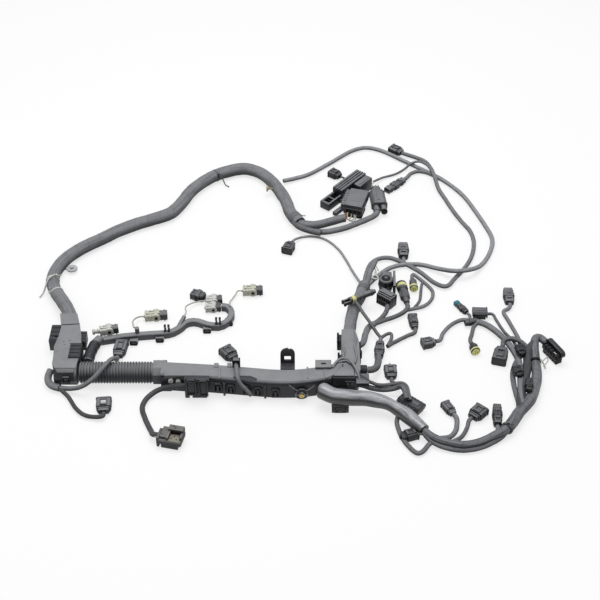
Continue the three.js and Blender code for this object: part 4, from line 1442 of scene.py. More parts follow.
PLUGS: list[Plug] = [
    SocketPlug("cam_plug", (252, 580, 0), 141, (24, 18, 14), Finish.GREY),
    InlinePlug("inline_plug", (250, 499, 0), -134, (44, 14, 12), Finish.GREY),
    SocketPlug("relay_side_plug", (143, 508, 0), 141, (21, 17, 14)),
    SocketPlug("knock_plug", (62, 322, 0), -111, (23, 17, 15)),
    InlinePlug("upright_plug", (236, 284.5, 0), 88, (33, 17, 15), Finish.GREY),
    InlinePlug("coupling_plug", (190, 87, 0), -97, (29, 14, 14)),
    SocketPlug("sensor_plug_rear", (242, 119, 0), 94, (28, 13, 13)),
    SocketPlug("tipped_plug", (202, 14, 0), 92, (22, 17, 14), Finish.GREY),
    ControlPlug("sleeve_side_plug", (212, -27, 0), -41, (36, 19, 15), Finish.DARK, Finish.BLACK),
    SocketPlug("slim_plug", (282, -56, 0), 116, (24, 13, 12), Finish.GREY),
    SocketPlug("flat_plug", (306, -63, 0), 47, (24, 20, 14)),
    InlinePlug("trunk_side_plug", (338.5, -78, 0), 85, (36, 13, 15), Finish.BLACK, Finish.DARK),
    SocketPlug("split_plug", (269, 90, 0), -165, (20, 16, 14), Finish.GREY),
    RoundPlug("yellow_tip_plug", (321, 84, 0), -77, (18, 14, 14), Finish.DARK, face=Finish.YELLOW),
    TippedPlug("teal_tip_plug", (321.5, 155, 0), 121, (28, 10, 10), Finish.BLACK, Finish.MID),
    ControlPlug("wide_plug", (351, 150, 0), 177, (22.5, 16, 15)),
    HoodPlug("control_plug", (426.8, 81, 0), -62, (38, 18, 24), Finish.DARK, Finish.INNER),
    InlinePlug("stepped_plug", (387, 175, 0), 88, (32, 16, 13), Finish.GREY),
    SocketPlug("cluster_plug", (363, 74, 0), -106, (30, 20, 17)),
    SocketPlug("open_plug", (-190, -53, 0), 95, (25, 20, 14), Finish.GREY),
    SocketPlug("conduit_side_plug", (-183, 58, 0), 84, (31, 18, 14), Finish.GREY),
    BlockPlug("main_plug", (-112, -99, 0), -13, (34, 24, 22), Finish.DUSTY),
    SocketPlug("duct_side_plug", (-18, 54, 0), 127, (25, 20, 14)),
    CoilPlug("coil_plug_1", (-214.4, 102.6, 8), 13, (28, 12, 14), Finish.GREY, Finish.PALE),
    CoilPlug("coil_plug_2", (-154, 145, 0), 6, (34, 14, 14), Finish.GREY, Finish.LIME),
    CoilPlug("coil_plug_3", (-88, 197, 0), -24, (22, 14, 14), Finish.BLACK, Finish.MID),
    CoilPlug("coil_plug_4", (-66, 181.1, 0), 7, (25, 14, 13), Finish.BLACK, Finish.PALE),
    CoilPlug("coil_plug_5", (-66, 165.8, 0), 3, (24, 14, 12), Finish.BLACK, Finish.PALE),
    CoilPlug("coil_plug_6", (-12, 204, 0), 2, (31, 14, 14), Finish.MID, Finish.LIME),
    BankPlug("lever_plug", (204, 165, 0), 88, (70, 26, 21), Finish.GREY),
    RoundPlug("ring_plug", (234, 172, 0), 98, (46, 17, 17), accent=Finish.MID, face=Finish.GREY),
    RoundPlug("yellow_plug", (246, 233, 0), -88, (25, 13, 13), Finish.MID, Finish.BLACK, face=Finish.YELLOW),
    RodPlug("rod_plug", (138, 151, 20.5), 31, (56, 10, 11), Finish.GREY),
    SocketPlug("loop_plug", (208, -99, 0), 20, (24, 16, 13), Finish.DARK, Finish.BLACK, in_cad=False),
    InlinePlug("inner_plug_low", (386, -26, 15), 82, (24, 11, 10), Finish.DARK, Finish.DARK, in_cad=False),
    SocketPlug("inner_plug_mid", (379, 6, 13), 104, (18, 13, 10), Finish.DARK, Finish.DARK, in_cad=False),
    SocketPlug("inner_plug_high", (387, 48, 14), 96, (18, 13, 10), Finish.DARK, Finish.DARK, in_cad=False),
]

CABLES: list[Cable] = [
    Cable("trunk", "back_loom", 20, [
        (75, 370, 10), (60, 398, 10), (49, 440, 10), (30, 483, 10), (6, 514, 10), (-22, 525, 10),
        (-59, 511, 10), (-84, 489, 10), (-106, 458, 10), (-120, 423, 10), (-136, 396, 10), (-163, 380, 10),
        (-197, 362, 10), (-233, 332, 10), (-269, 300, 10), (-287, 277, 10), (-298, 248, 10),
        (-300, 228, 10), (-295, 206, 10), (-280, 178, 12), (-266, 150, 15), (-259, 131, 16),
        (-259, 122.4, 16),
    ], wrap=22),
    Cable("relay_strand", "back_loom", 14, [
        (147, 385.5, 9), (136, 381, 9), (118, 374, 8), (98, 367, 8), (77, 370, 9), (63, 392, 9),
    ], wrap=18),
    Cable("boot_strand", "back_loom", 9.5, [
        (199.4, 413.1, 9), (200.4, 403, 9), (198.6, 395.6, 9), (189, 386.5, 8.5), (167, 373.5, 7),
        (148, 363, 6), (131, 356, 6), (115, 352, 6), (91, 355, 6), (72, 367, 6), (62, 390, 6),
    ]),
    Cable("end_strand", "back_loom", 10, [
        (108, 343, 10.6), (88, 350, 10.6), (70, 366, 9), (61, 388, 8),
    ], finish=Finish.LEAD, free=False),
    Cable("centre_trunk", "centre_loom", 18, [
        (173, 214, 10), (165, 187, 10), (156, 164, 10), (150, 136, 10), (147, 112, 13), (145.2, 98, 15),
        (145, 87.6, 15),
    ], wrap=20),
    Cable("outer_loop", "centre_loom", 7, [
        (47, 495, 6), (65, 503, 5), (89, 516, 4.4), (125, 549, 4.4), (166, 589, 4.4), (190, 599, 4.4),
        (214, 591, 4.4), (253, 558, 4.4), (288, 527, 4.4), (313, 503, 4.4), (334, 475, 4.4),
        (347, 451, 4.4), (361, 411, 4.4), (373, 370, 4.4), (380, 333, 4.4), (371, 297, 4.4), (355, 268, 5),
        (335, 247, 13), (311, 242, 14), (287, 257, 7), (261, 269, 5), (236, 269, 5), (214, 261, 5),
        (194, 240, 6), (174, 212, 7),
    ], finish=Finish.PALE_LOOM),
    Cable("inner_loop", "centre_loom", 6.8, [
        (269, 572, 4.5), (289, 556, 5), (297, 528, 10), (301, 496, 14), (306, 471, 7), (316, 442, 4),
        (326, 407, 5), (337, 380, 4), (347, 357, 4), (350, 328, 4), (343, 292, 4), (330, 264, 4),
        (313, 239, 4), (296, 216, 5), (281, 223, 5), (259, 251, 5), (239, 270, 5), (215, 286, 5),
        (198, 284, 5), (185, 272, 5), (177, 248, 5), (171, 210, 8),
    ], plug="cam_plug"),
    Cable("inline_lead", "centre_loom", 6.5, [
        (264, 520, 4), (276, 526, 4), (291, 522, 4), (312, 503, 4),
    ], plug="inline_plug"),
    Cable("thin_lead", "centre_loom", 4, [
        (199, 490, 8), (214, 507, 4), (238, 520, 3), (254, 534, 4), (266, 541, 11), (280, 544, 12),
        (297, 531, 10),
    ]),
    Cable("knock_lead", "centre_loom", 4, [
        (78, 342, 3), (94, 344, 3), (115, 336, 3), (135, 311, 3), (147, 282, 3), (155, 256, 4),
        (169, 214, 8),
    ], plug="knock_plug", finish=Finish.PALE_LOOM),
    Cable("upright_tail", "centre_loom", 6, [(236, 268, 5)], plug="upright_plug", free=False),
    Cable("crown_strand", "centre_loom", 7.5, [
        (192, 270, 12), (187, 254, 14), (182, 240, 14), (178, 224, 9), (172, 210, 8),
    ]),
    Cable("right_trunk", "right_loom", 16, [
        (419, 92, 12), (413, 91, 13), (409, 76, 12), (406, 43, 9.5), (403, 12, 9), (396, -13, 9),
        (386, -35, 9), (371, -54, 9), (356, -78, 9), (344, -91, 9), (328, -100, 8.5), (308, -111, 8.5),
        (286, -115, 8.5), (267, -110, 8.5), (255, -106, 10), (245.8, -100.2, 11.8), (239.4, -92.5, 12),
    ], plug="control_plug", finish=Finish.BUNDLE, wrap=19, slim=(0.68, 0.66)),
    Cable("lower_strand", "right_loom", 7, [
        (351, -85, 7), (343, -96, 5), (330.5, -105.5, 4), (310, -116.5, 4), (286, -120.5, 4),
        (265.5, -116, 4.5), (253, -110.5, 6), (243, -103, 9), (238, -95, 12),
    ], finish=Finish.LEAD),
    Cable("slim_lead", "right_loom", 7, [
        (285, -71, 4), (281, -87, 4), (272, -98, 5), (257, -102, 7),
    ], plug="slim_plug"),
    Cable("flat_lead", "right_loom", 6, [
        (298, -79, 4), (288, -98, 5), (275, -109, 7),
    ], plug="flat_plug", finish=Finish.LEAD),
    Cable("low_loop", "right_loom", 6.5, [
        (207, -61, 8), (204.5, -69, 4), (205.5, -78, 3.6), (208, -91, 3.6), (214, -107, 3.6),
        (223, -121, 3.6), (229, -126, 3.6), (237, -121, 4), (245, -110, 5), (256, -104, 7),
    ], finish=Finish.LEAD),
    Cable("inside_strand", "right_loom", 12.5, [
        (408, 78, 12), (398, 64, 10), (395, 43, 9), (388, 14, 9), (378, -16, 10), (372, -52, 10),
    ], finish=Finish.DIM_LEAD),
    Cable("left_strand", "right_loom", 7.5, [
        (407, 76, 12), (394, 63, 11), (380, 46, 8), (372, 25, 7), (370, 0, 7), (372, -46, 10),
    ], finish=Finish.LEAD),
    Cable("upper_strand", "right_loom", 9, [
        (329, 135.5, 5), (344, 129, 5.5), (359, 112, 6), (373, 85, 7), (382, 55, 8), (382, 24, 10),
        (378, -6, 12), (374, -44, 12),
    ]),
    Cable("split_lead", "right_loom", 6, [
        (282, 110, 4), (297, 130, 4), (314, 140, 4), (334, 134.5, 5),
    ], plug="split_plug"),
    Cable("yellow_tip_lead", "right_loom", 6, [
        (324, 109, 4), (329, 126, 4), (336, 133, 5),
    ], plug="yellow_tip_plug", finish=Finish.LEAD),
    Cable("wide_lead", "right_loom", 4.5, [
        (363, 139, 4), (371, 114, 4), (381, 91, 6), (386, 66, 9),
    ], plug="wide_plug", finish=Finish.LEAD),
    Cable("teal_tip_lead", "right_loom", 4.5, [
        (324.5, 143, 5), (331, 135, 5),
    ], plug="teal_tip_plug", free=False),
    Cable("stepped_lead", "right_loom", 6, [
        (384, 165, 4), (376, 159, 4), (380, 140, 4), (386, 114, 5), (390, 91, 6), (385, 56, 9),
    ], plug="stepped_plug"),
    Cable("cluster_lead", "right_loom", 7, [
        (366, 86, 11), (376, 89, 13), (388, 84, 13), (400, 68, 12),
    ], plug="cluster_plug", finish=Finish.LEAD),
    Cable("trunk_side_tail", "right_loom", 6, [(342, -92, 9)], plug="trunk_side_plug", free=False),
    Cable("lever_base", "lever_loom", 9, [
        (184, 130, 5), (176, 123, 6), (169, 102, 9), (166, 84, 11), (161.5, 76.2, 11.5),
        (156.1, 75.1, 11.5),
    ]),
    Cable("lever_lead", "lever_loom", 7, [
        (200, 152, 5), (189, 136, 5), (178, 125, 6),
    ], plug="lever_plug", finish=Finish.LEAD),
    Cable("ring_lead", "lever_loom", 7, [
        (230, 157, 6), (215, 146, 5), (197, 137, 5), (178, 125, 6),
    ], plug="ring_plug", finish=Finish.LEAD),
    Cable("yellow_loop", "lever_loom", 5.5, [
        (247, 243.5, 6.5), (251, 241, 6), (258, 233, 5), (268, 220, 4), (275, 204, 4), (271, 185, 4),
        (259, 171, 4), (244, 165, 4), (229, 158, 6),
    ], plug="yellow_plug"),
    Cable("inside_loop", "lever_loom", 4.5, [
        (262, 227, 5), (259, 217, 6), (257, 204, 6), (253, 181, 5), (243, 165, 4),
    ], finish=Finish.LEAD),
    Cable("rod_wire", "coupling_loom", 5, [
        (156.2, 155.7, 25.5), (158.8, 151.4, 25), (166, 139, 20), (175, 121, 18), (186, 104, 10),
        (191, 97, 8),
    ], finish=Finish.LEAD),
    Cable("coupling_tail", "coupling_loom", 6, [(191, 97, 7)], plug="coupling_plug", free=False),
    Cable("zigzag", "coupling_loom", 5, [
        (201, 83, 5), (207, 98, 6), (206, 107, 7), (198, 103, 7), (191, 96, 7),
    ], finish=Finish.LEAD),
    Cable("sensor_lead", "coupling_loom", 6, [
        (240, 110, 4), (234, 107, 4), (222, 99, 4), (207, 88, 4), (200, 81, 5),
    ], plug="sensor_plug_rear", finish=Finish.LEAD),
    Cable("cap_hose", "cap_lead", 10, [
        (186, 57.3, 7), (184.5, 41, 8.5), (180.5, 27, 13), (175.5, 20.3, 16), (169.1, 20.3, 16),
    ], finish=Finish.LEAD, free=False),
    Cable("side_lead_a", "sleeve_side_loom", 7.5, [
        (219, -41, 19.1), (218, -28, 19.1), (214, -16, 19.2), (206, -12, 12), (190, -11, 8), (173, -8, 8),
        (162, -3.7, 9), (156.4, -2.1, 9),
    ], finish=Finish.LEAD),
    Cable("side_lead_b", "sleeve_side_loom", 5, [
        (224, -42, 17.9), (222.5, -28, 17.9), (220.5, -14, 18), (214, -6, 16), (200, -8, 15), (183, -9, 15),
        (172, -4, 15.5), (163, -0.7, 16), (157.3, 0.9, 16),
    ], finish=Finish.LEAD),
    Cable("tipped_lead", "sleeve_side_loom", 6, [
        (206, 2, 7), (212, -4, 12), (218, -9, 16),
    ], plug="tipped_plug", finish=Finish.LEAD, free=False),
    Cable("box_tail", "box_lead", 10, [
        (-272, 24, 12), (-275, 12, 8), (-270, 1, 6), (-256, -6, 6),
    ], free=False),
    Cable("open_lead", "box_lead", 6, [
        (-206, -59, 4), (-217, -55, 4), (-229, -43, 4), (-243, -20, 4), (-258, -5, 6),
    ], plug="open_plug", finish=Finish.DIM_LEAD),
    Cable("conduit_side_lead", "box_lead", 6.5, [
        (-182, 38, 21), (-186, 20, 35), (-194, 4, 35.5), (-208, -10, 27), (-226, -11, 13), (-243, -8, 7),
        (-258, -5, 6),
    ], plug="conduit_side_plug"),
    Cable("main_lead", "main_lead", 7.5, [
        (-122, -88, 5), (-133, -63, 4), (-139, -41, 4), (-134, -24, 4.5), (-121, -13, 8), (-106, -12, 14),
        (-90, -12.4, 17), (-82.4, -12.4, 17),
    ], plug="main_plug", finish=Finish.DIM_LEAD),
    Cable("duct_side_lead", "duct_side_lead", 6, [
        (-15, 38, 17), (-13, 12, 36), (-11, -4, 37.5), (-9, -17.5, 35.5), (-5, -21, 27), (2, -22, 18),
        (8, -23, 9),
    ], plug="duct_side_plug"),
    Cable("coil_wire_1", "coil_wire_1", 2.5, [
        (-165, 138, 9), (-168, 125, 14), (-166, 113, 18), (-163.5, 106, 18.5),
    ], plug="coil_plug_2", finish=Finish.WIRE),
    Cable("coil_wire_2", "coil_wire_2", 2.5, [
        (-21, 199, 5), (-27, 186, 4), (-29, 174, 10), (-28.7, 168, 13), (-28.5, 161, 12.8),
    ], plug="coil_plug_6", finish=Finish.WIRE),
    Cable("coil_wire_3", "", 2.2, [
        (-81, 179, 5), (-90, 170, 8), (-94, 158, 12), (-92, 145, 14.5), (-93.9, 137.6, 13.2),
    ], plug="coil_plug_4", finish=Finish.WIRE),
    Cable("relay_side_lead", "relay_side_lead", 3.5, [
        (152.3, 497.2, 7), (157, 493, 7), (160.1, 490.5, 7),
    ], plug="relay_side_plug", finish=Finish.LEAD, free=False),
]  # fmt: skip

BANDS: list[Band] = [
    Band("trunk", 0.85, 3.0, 0.5, Finish.TIE, 60),
    Band("trunk", 0.895, 3.0, 0.5, Finish.TIE, 150),
    Band("trunk", 0.33, 4.0, 0.5, Finish.BLACK, 40),
    Band("trunk", 0.02, 14.0, 0.9, Finish.LEAD),
    Band("right_trunk", 0.63, 5.0, 0.8, Finish.BLACK, 90),
    Band("right_trunk", 0.2, 4.0, 0.8, Finish.INNER),
    Band("centre_trunk", 0.1, 12.0, 0.8, Finish.LEAD),
    Band("centre_trunk", 0.45, 5.0, 0.6, Finish.LOOM),
]


# The rigid pieces.


@dataclass
class Rigid:
    """The rigid ducts, boxes and holders, which keep their CAD form with rounded edges and get small details.

    Attributes:
        nodes: The CAD nodes by name.
    """

    nodes: dict[str, bpy.types.Object]

    def soft_copy(self, node: str, finish: Finish, bevel: float) -> bpy.types.Object:
        """Stands for a CAD node with the same form and rounded edges.

        Args:
            node: The CAD node.
            finish: Its finish.
            bevel: The width of its rounded edges in millimetres.

        Returns:
            The piece.
        """
        source = self.nodes[node]
        data = source.data.copy()
        mesh = bmesh.new()
        mesh.from_mesh(data)
        bmesh.ops.remove_doubles(mesh, verts=mesh.verts, dist=1e-6)
        bmesh.ops.dissolve_limit(mesh, angle_limit=math.radians(1.5), verts=mesh.verts, edges=mesh.edges)
        mesh.to_mesh(data)
        mesh.free()
        data.materials.clear()
        data.materials.append(finish.material())
        piece = bpy.data.objects.new(f"{node}_look", data)
        bpy.context.scene.collection.objects.link(piece)
        piece.matrix_world = source.matrix_world.copy()
        soften(piece, bevel)
        shade(piece, 38)
        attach(piece, BODY)
        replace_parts(piece, node)
        return piece

    def build(self) -> None:
        """Makes every rigid piece."""
        looks = {
            "junction_box_tray": Finish.TRAY,
            "junction_box_cover": Finish.COVER,
            "duct_tray": Finish.TRAY,
            "duct_cover": Finish.COVER,
            "fixing_bracket": Finish.TRAY,
            "tee_tray": Finish.TRAY,
            "tee_cover": Finish.COVER,
            "coil_rail": Finish.COVER,
            "fuse_holder": Finish.MID,
            "relay": Finish.GREY,
            "twin_boot": Finish.GREY,
            "spring_clip": Finish.WIRE_STEEL,
        }
        for node, finish in looks.items():
            self.soft_copy(node, finish, 0.3 if node == "spring_clip" else 0.6)
        self.conduit()
        self.sleeve()

    def conduit(self) -> None:
        """Makes the corrugated conduit with round ribs and a smooth end."""
        start, length, pitch, radius, depth, axis = -229.2, 101.7, 3.98, 15.2, 1.6, 15.5
        profile = [(start, radius - depth)]
        for i in range(int(length / pitch)):
            for share, rise in ((0.08, 0.0), (0.2, 0.75), (0.32, 1.0), (0.56, 1.0), (0.68, 0.75), (0.8, 0.0)):
                profile.append((start + (i + share) * pitch, radius - depth + rise * depth))
        profile.append((start + length, radius - depth))
        solids = Solids().use(Finish.CONDUIT)
        solids.turned(profile, axis, axis, 48)
        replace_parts(solids.build("conduit_look", bevel=0, sharp=60), "corrugated_conduit")

    def sleeve(self) -> None:
        """Makes the glossy sleeve with its bulges."""
        route = [
            (106, -30, 24), (120, -38, 23), (142, -40.5, 21.5), (167, -41, 20), (191, -47, 17),
            (209, -57, 14.5), (224, -73, 12.8), (239, -92, 12),
        ]
        line = spline(route, 3.0)
        reach = length_of(line)
        full, sides, dome_reach = 11.3, 32, 9.0
        twist_depth, twist_at, twist_reach = 0.2, 0.68, 0.09

        def radius(way: float, side: int) -> float:
            """Gives the sleeve's radius, with its round end, its twist and its lumps."""
            turn = 2 * math.pi * side / sides
            share = way / reach
            from_twist = (share - twist_at - 0.05 * math.sin(turn)) / twist_reach
            twist = twist_depth * math.exp(-(from_twist**2))
            swell = 1.02 - 0.1 * min(1.0, share / 0.5) - twist - 0.12 * max(0.0, (share - 0.86) / 0.14)
            lump = noise.noise(Vector((way / 22, 0.7 * math.cos(turn), 0.7 * math.sin(turn))))
            dome = math.sqrt(max(0.02, 1 - (max(0.0, dome_reach - way) / dome_reach) ** 2))
            return full * swell * (1 + 0.05 * lump) * dome

        solids = Solids().use(Finish.SLEEVE)
        ahead = (line[0] - line[1]).normalized()
        start = [line[0] + ahead * way for way in (9, 6, 3)]
        solids.along([*start, *line], radius, sides)
        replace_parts(solids.build("sleeve_look", bevel=0, sharp=60), "cable_sleeve")


# The details on them.


@dataclass
class Trim:
    """The small details that sit on the rigid pieces and on the cables.

    Attributes:
        holder: The fuse holder's place and its turn in degrees.
        relay: The relay's place and turn.
        boots: The twin boot's place and turn.
    """

    holder: tuple[Point, float] = ((115, 419, 0), 51)
    relay: tuple[Point, float] = ((160, 394, 0), 74)
    boots: tuple[Point, float] = ((205, 416, 0), 95)

    def frame(self, solids: Solids, x: Span, y: Span, z: Span, wall: float) -> None:
        """Adds an open frame that stands across Y.

        Args:
            solids: Takes the forms.
            x: Its limits along X.
            y: Its limits along Y.
            z: Its limits in height.
            wall: The width of its bars.
        """
        for low in (x[0], x[1] - wall):
            solids.box((low, low + wall), y, z)
        for low in (z[0], z[1] - wall):
            solids.box(x, y, (low, low + wall))

    def duct(self) -> None:
        """Adds the grey end, the bolts, the clip frames, a thin dark sheet of painted shade on the cover and
        the lead holder of the main duct.
        """
        end = Solids().use(Finish.COVER)
        end.bar([(y + 15.5, z) for y, z in cut_rectangle(30.8, 31.9, 8)], (-127.4, -112))
        end.bar([(y + 15.5, z) for y, z in cut_rectangle(31.6, 32.1, 8.2)], (-113.6, -109.6))
        end.plate([(-110, 26), (-92, 29), (-70, 31.6), (-70, 32.4), (-110, 32.4)], (-8.4, 0))
        end.build("duct_end", bevel=0.5)
        frames = Solids().use(Finish.TRAY)
        self.frame(frames, (-80, -66), (-24, -20.6), (9, 38), 1.8)
        self.frame(frames, (-63, -50), (-23.5, -20.6), (7, 36), 1.8)
        frames.box((-82, -48), (-20.8, -12), (33.4, 35.4))
        frames.box((-72, -58), (-22, -19), (3, 12))
        for x, y, z in (
            (-43, -15.5, 8), (-25, -17, 6), (-4, -18.5, 6), (12, -20.5, 5), (36, -23, 4), (101, -17.5, 6)
        ):
            self.frame(frames, (x, x + 11), (y, y + 5), (z, z + 15), 1.4)
            frames.box((x + 4, x + 7), (y - 1, y + 2), (z + 3, z + 11))
        for x, y in ((-30, -17), (26, -22.5)):
            frames.box((x, x + 3), (y, y + 6), (2, 24))
        frames.build("duct_frames", bevel=0.3)
        inlay = Solids().use(Finish.MID)
        inlay.box((-77.6, -68.4), (-22.4, -20.2), (12, 32))
        inlay.box((-60.4, -52.6), (-22.2, -20.2), (10, 30))
        inlay.box((-46, 110), (-13.2, -12.6), (22.2, 23.4))
        inlay.build("duct_inlay", bevel=0.3)
        # A thin dark sheet just above the cover's front edge: painted shade, not a part of the duct.
        step = Solids().use(Finish.TRAY)
        step.prism([(-17, -11.2), (-8, -8.2), (8, -9), (17, -14.4), (16, -17.6), (-10, -15.8)], (31.4, 32.25))
        step.build("duct_step", bevel=0.2)
        bolts = Solids().use(Finish.PALE)
        for x, z in ((-101.7, 22.0), (-91.5, 20.5)):
            bolts.knob(x, z, [(-6, 3.6), (-9.4, 3.6), (-10.2, 2.9), (-10.2, 1.5), (-8.6, 1.4)], 18)
        bolts.build("duct_bolts", bevel=0)
        holder = Solids().use(Finish.MID)
        self.frame(holder, (-18, -7), (8, 14), (31, 45), 1.6)
        holder.box((-17, -8), (13, 14.4), (32, 44))
        holder.build("lead_holder", bevel=0.3)

    def tee(self) -> None:
        """Adds the strap, the cover's wing, the screws and the small blocks of the tee."""
        strap = Solids().use(Finish.COVER)
        across = [
            (119.5, 6, 32.5), (124, 15, 34), (132, 22.5, 35), (141, 20.5, 35.4), (149, 9, 35),
            (154.5, -6, 32), (157, -15, 26),
        ]
        strap.along(spline(across, 2.0), 2.1, 14)
        for route in (
            [(134, 55, 31.6), (136.6, 40, 32.8), (135, 27, 33.2), (139, 22, 34)],
            [(152, 86, 31.4), (154, 70, 32.6), (151.4, 50, 32.8), (153.4, 30, 33), (150, 14, 34)],
        ):
            strap.along(spline(route, 2.0), 1.5, 10)
        strap.build("tee_strap", bevel=0)
        wing = Solids().use(Finish.COVER)
        wing.prism([(110, -14), (122.7, -6), (135, 18), (131.5, 22), (120.4, 14), (105, 10)], (31.2, 32.7))
        wing.prism([(121, -8.6), (149.4, -8.6), (149, 10), (141, 14.4), (131, 14.4), (121, 4)], (29.1, 32.3))
        wing.build("tee_wing", bevel=0.5)
        filler = Solids().use(Finish.TRAY)
        filler.box((116.4, 119.4), (-10.6, 0), (3, 31.8))
        filler.prism([(153.6, 1), (169.2, -13), (168.6, -16.6), (152.8, -5)], (27.9, 29.3))
        filler.box((133, 134.4), (9, 13), (32, 33.6))
        filler.build("tee_filler", bevel=0.3)
        inner = Solids().use(Finish.MID)
        for x in (140.5, 146.5):
            inner.knob(x, 17, [(-8.6, 2.3), (-11.6, 2.3), (-12.2, 1.6), (-12.2, 0.8), (-11.2, 0.7)], 16)
        for low in (2.5, 8, 21):
            inner.box((137, 151), (-10.6, -8.8), (low, low + 1.5))
        inner.box((151.5, 169.4), (-20.4, -1), (27.9, 28.9))
        inner.build("tee_inner", bevel=0.25)
        blocks = Solids().use(Finish.MID)
        blocks.box((119, 140), (-47.6, -30), (9.7, 10.8))
        self.frame(blocks, (122, 137), (-49.4, -47.4), (1, 9), 1.4)
        blocks.box((126, 133), (-50.2, -47.6), (3, 6))
        blocks.build("tee_blocks", bevel=0.3)
        edge = Solids().use(Finish.INNER)
        edge.box((157.4, 160.4), (40, 64), (8, 29))
        edge.box((157.4, 162), (45, 52), (14, 24))
        for y in (71, 78, 85, 29, 36, 43):
            edge.box((127.6, 130.4), (y - 1.5, y + 1.5), (8, 26.6))
        edge.build("tee_edge", bevel=0.3)

    def box(self) -> None:
        """Adds the cover's seam, the latches' frames and the front clips of the junction box."""
        seam = Solids().use(Finish.INNER)
        seam.prism([(-265.2, 97.4), (-239.4, 99.4), (-239.2, 98), (-265, 96)], (31.6, 32.35))
        for x, y in ((-258, 60), (-250, 62), (-256, 54), (-248, 56)):
            seam.prism([(x, y), (x + 2.4, y + 0.6), (x + 2.4, y + 1.4), (x, y + 0.8)], (31.8, 32.2))
        seam.build("box_seam", bevel=0)
        clips = Solids().use(Finish.MID)
        self.frame(clips, (-252, -241), (-1.6, 0.8), (11, 22), 1.4)
        self.frame(clips, (-264, -255), (0.4, 2.6), (7, 17), 1.4)
        clips.box((-249, -244), (-2.2, 0.6), (14, 18))
        clips.build("box_clips", bevel=0.3)
        collar = Solids().use(Finish.COVER)
        collar.turned([(-236, 15.4), (-235.4, 15.9), (-232.6, 15.9), (-232, 15.4)], 15.5, 15.9, 40)
        low = [(-258, 2), (-236, 2), (-233, 24), (-258, 24)]
        high = [(-262, 8), (-233, 7.6), (-231.4, 26), (-262, 26)]
        collar.loft([[(x, y, z) for x, y in plan] for plan, z in ((low, 27.5), (high, 31.6))])
        collar.build("box_collar", bevel=0.4)

    def rail(self) -> None:
        """Adds the dark sheath, the pins and the pale bit of the thin duct."""
        sheath = Solids().use(Finish.TRAY)
        route = spline([(-222.4, 42, 12), (-221, 62, 11), (-217.4, 80, 9.7)], 1.5)
        sheath.along(route, lambda way, side: 7.9 + 0.35 * math.sin(way * 1.9), 24)
        sheath.build("link_sheath", bevel=0)
        pins = Solids().use(Finish.INNER)
        for x, y in ((-117, 108), (-44, 124)):
            for shift in (-2.6, 2.6):
                pins.box((x + shift - 1.5, x + shift + 1.5), (y - 3.4, y + 3.4), (10.2, 14))
                pins.box((x + shift - 1.5, x + shift + 1.5), (y - 2, y + 2), (18, 21.6))
        for x, y in ((-164, 95), (-127, 101), (-60, 121), (-29, 137)):
            self.frame(pins, (x - 5, x + 5), (y - 8, y - 6), (0.6, 8), 1.4)
        pins.build("rail_pins", bevel=0.25)
        bit = Solids().use(Finish.PALE)
        bit.turned(
            [(-9.5, 2.6), (-9, 4.4), (-6.4, 4.4), (-6, 3.3), (-2, 3.3), (-1.6, 4.0), (0.6, 4.0)], 0, 7, 20
        )
        bit.build("coil_bit", (-214.4, 102.6, 8), 13, bevel=0)

    def relay_group(self) -> None:
        """Adds the ribs, the slots and the stubs of the fuse holder, the relay and the twin boot."""
        ribs = Solids().use(Finish.GREY)
        for low, high in ((-9.3, -5.5), (-3.6, -1.0), (1.0, 3.6), (5.5, 9.3)):
            ribs.box((34.4, 99.6), (low, high), (23.2, 24.9))
        ribs.box((62.6, 95.4), (-25, -13), (23.2, 24.7))
        ribs.box((1, 34), (-9, -6), (14.4, 15.6))
        ribs.box((1, 34), (6, 9), (14.4, 15.6))
        ribs.box((66, 92), (-22, -20), (24.4, 25.6))
        ribs.build("holder_ribs", *self.holder, bevel=0.25)
        dark = Solids().use(Finish.INNER)
        for x in (6, 11.5, 21.5, 27):
            dark.box((x, x + 1.2), (-6, 6), (3, 13.4))
        dark.box((5, 34), (-5.6, 5.6), (2.2, 3))
        for x in (42, 56, 70, 84):
            dark.box((x, x + 7), (9.2, 9.9), (6, 18))
        dark.build("holder_cells", *self.holder, bevel=0.2)
        cells = Solids().use(Finish.INNER)
        for y in (-12.5, -6, 0.5, 7):
            cells.box((-0.7, 1.4), (y, y + 4.6), (10.4, 17.4))
        cells.box((3.6, 30.4), (-14.4, 14.4), (0.6, 4))
        cells.build("relay_cells", *self.relay, bevel=0.2)
        strip = Solids().use(Finish.GREY)
        strip.box((1.6, 44.6), (15.2, 20.6), (24.6, 25.6))
        for x in (5, 12, 19, 26, 33, 40):
            strip.box((x, x + 1.6), (15.2, 21), (12, 26.2))
        strip.box((-1.0, 0.8), (-15.4, 15.4), (18.4, 20.4))
        strip.box((14, 15.4), (-12, 12), (26.8, 27.3))
        strip.build("relay_strip", *self.relay, bevel=0.25)
        wires = (
            (Finish.BROWN, (1, 10.5, 11), (-3, 11, 13), (-7, 9.6, 12), (-11.5, 8.6, 10)),
            (Finish.ORANGE, (1, 8.6, 11), (-3.6, 9.4, 11), (-8, 8, 9), (-12, 6.4, 8)),
            (Finish.BEIGE, (1, 6.5, 11), (-4, 7.4, 14), (-8, 6.6, 13), (-12, 5.4, 11)),
            (Finish.WIRE, (1, 2, 11), (-4, 1, 8), (-8, 2.4, 6), (-12, 5, 7)),
            (Finish.TIE, (1, -2, 11), (-4, -4, 8), (-8, -2, 4.4), (-12, 3, 6)),
            (Finish.WIRE, (1, -5, 11), (-5, -6.6, 6), (-9, -4, 3), (-12, 2, 5)),
        )
        for number, (finish, *points) in enumerate(wires):
            wire = Solids().use(finish)
            wire.along(spline(points, 1.5), 0.95, 8)
            wire.build(f"relay_wire_{number}", *self.relay, bevel=0)
        rings = Solids().use(Finish.GREY)
        for x, width, height, base in ((1.5, 26.4, 18.4, -0.1), (34, 26, 18.4, -0.1), (40, 19.2, 15.6, 1.4)):
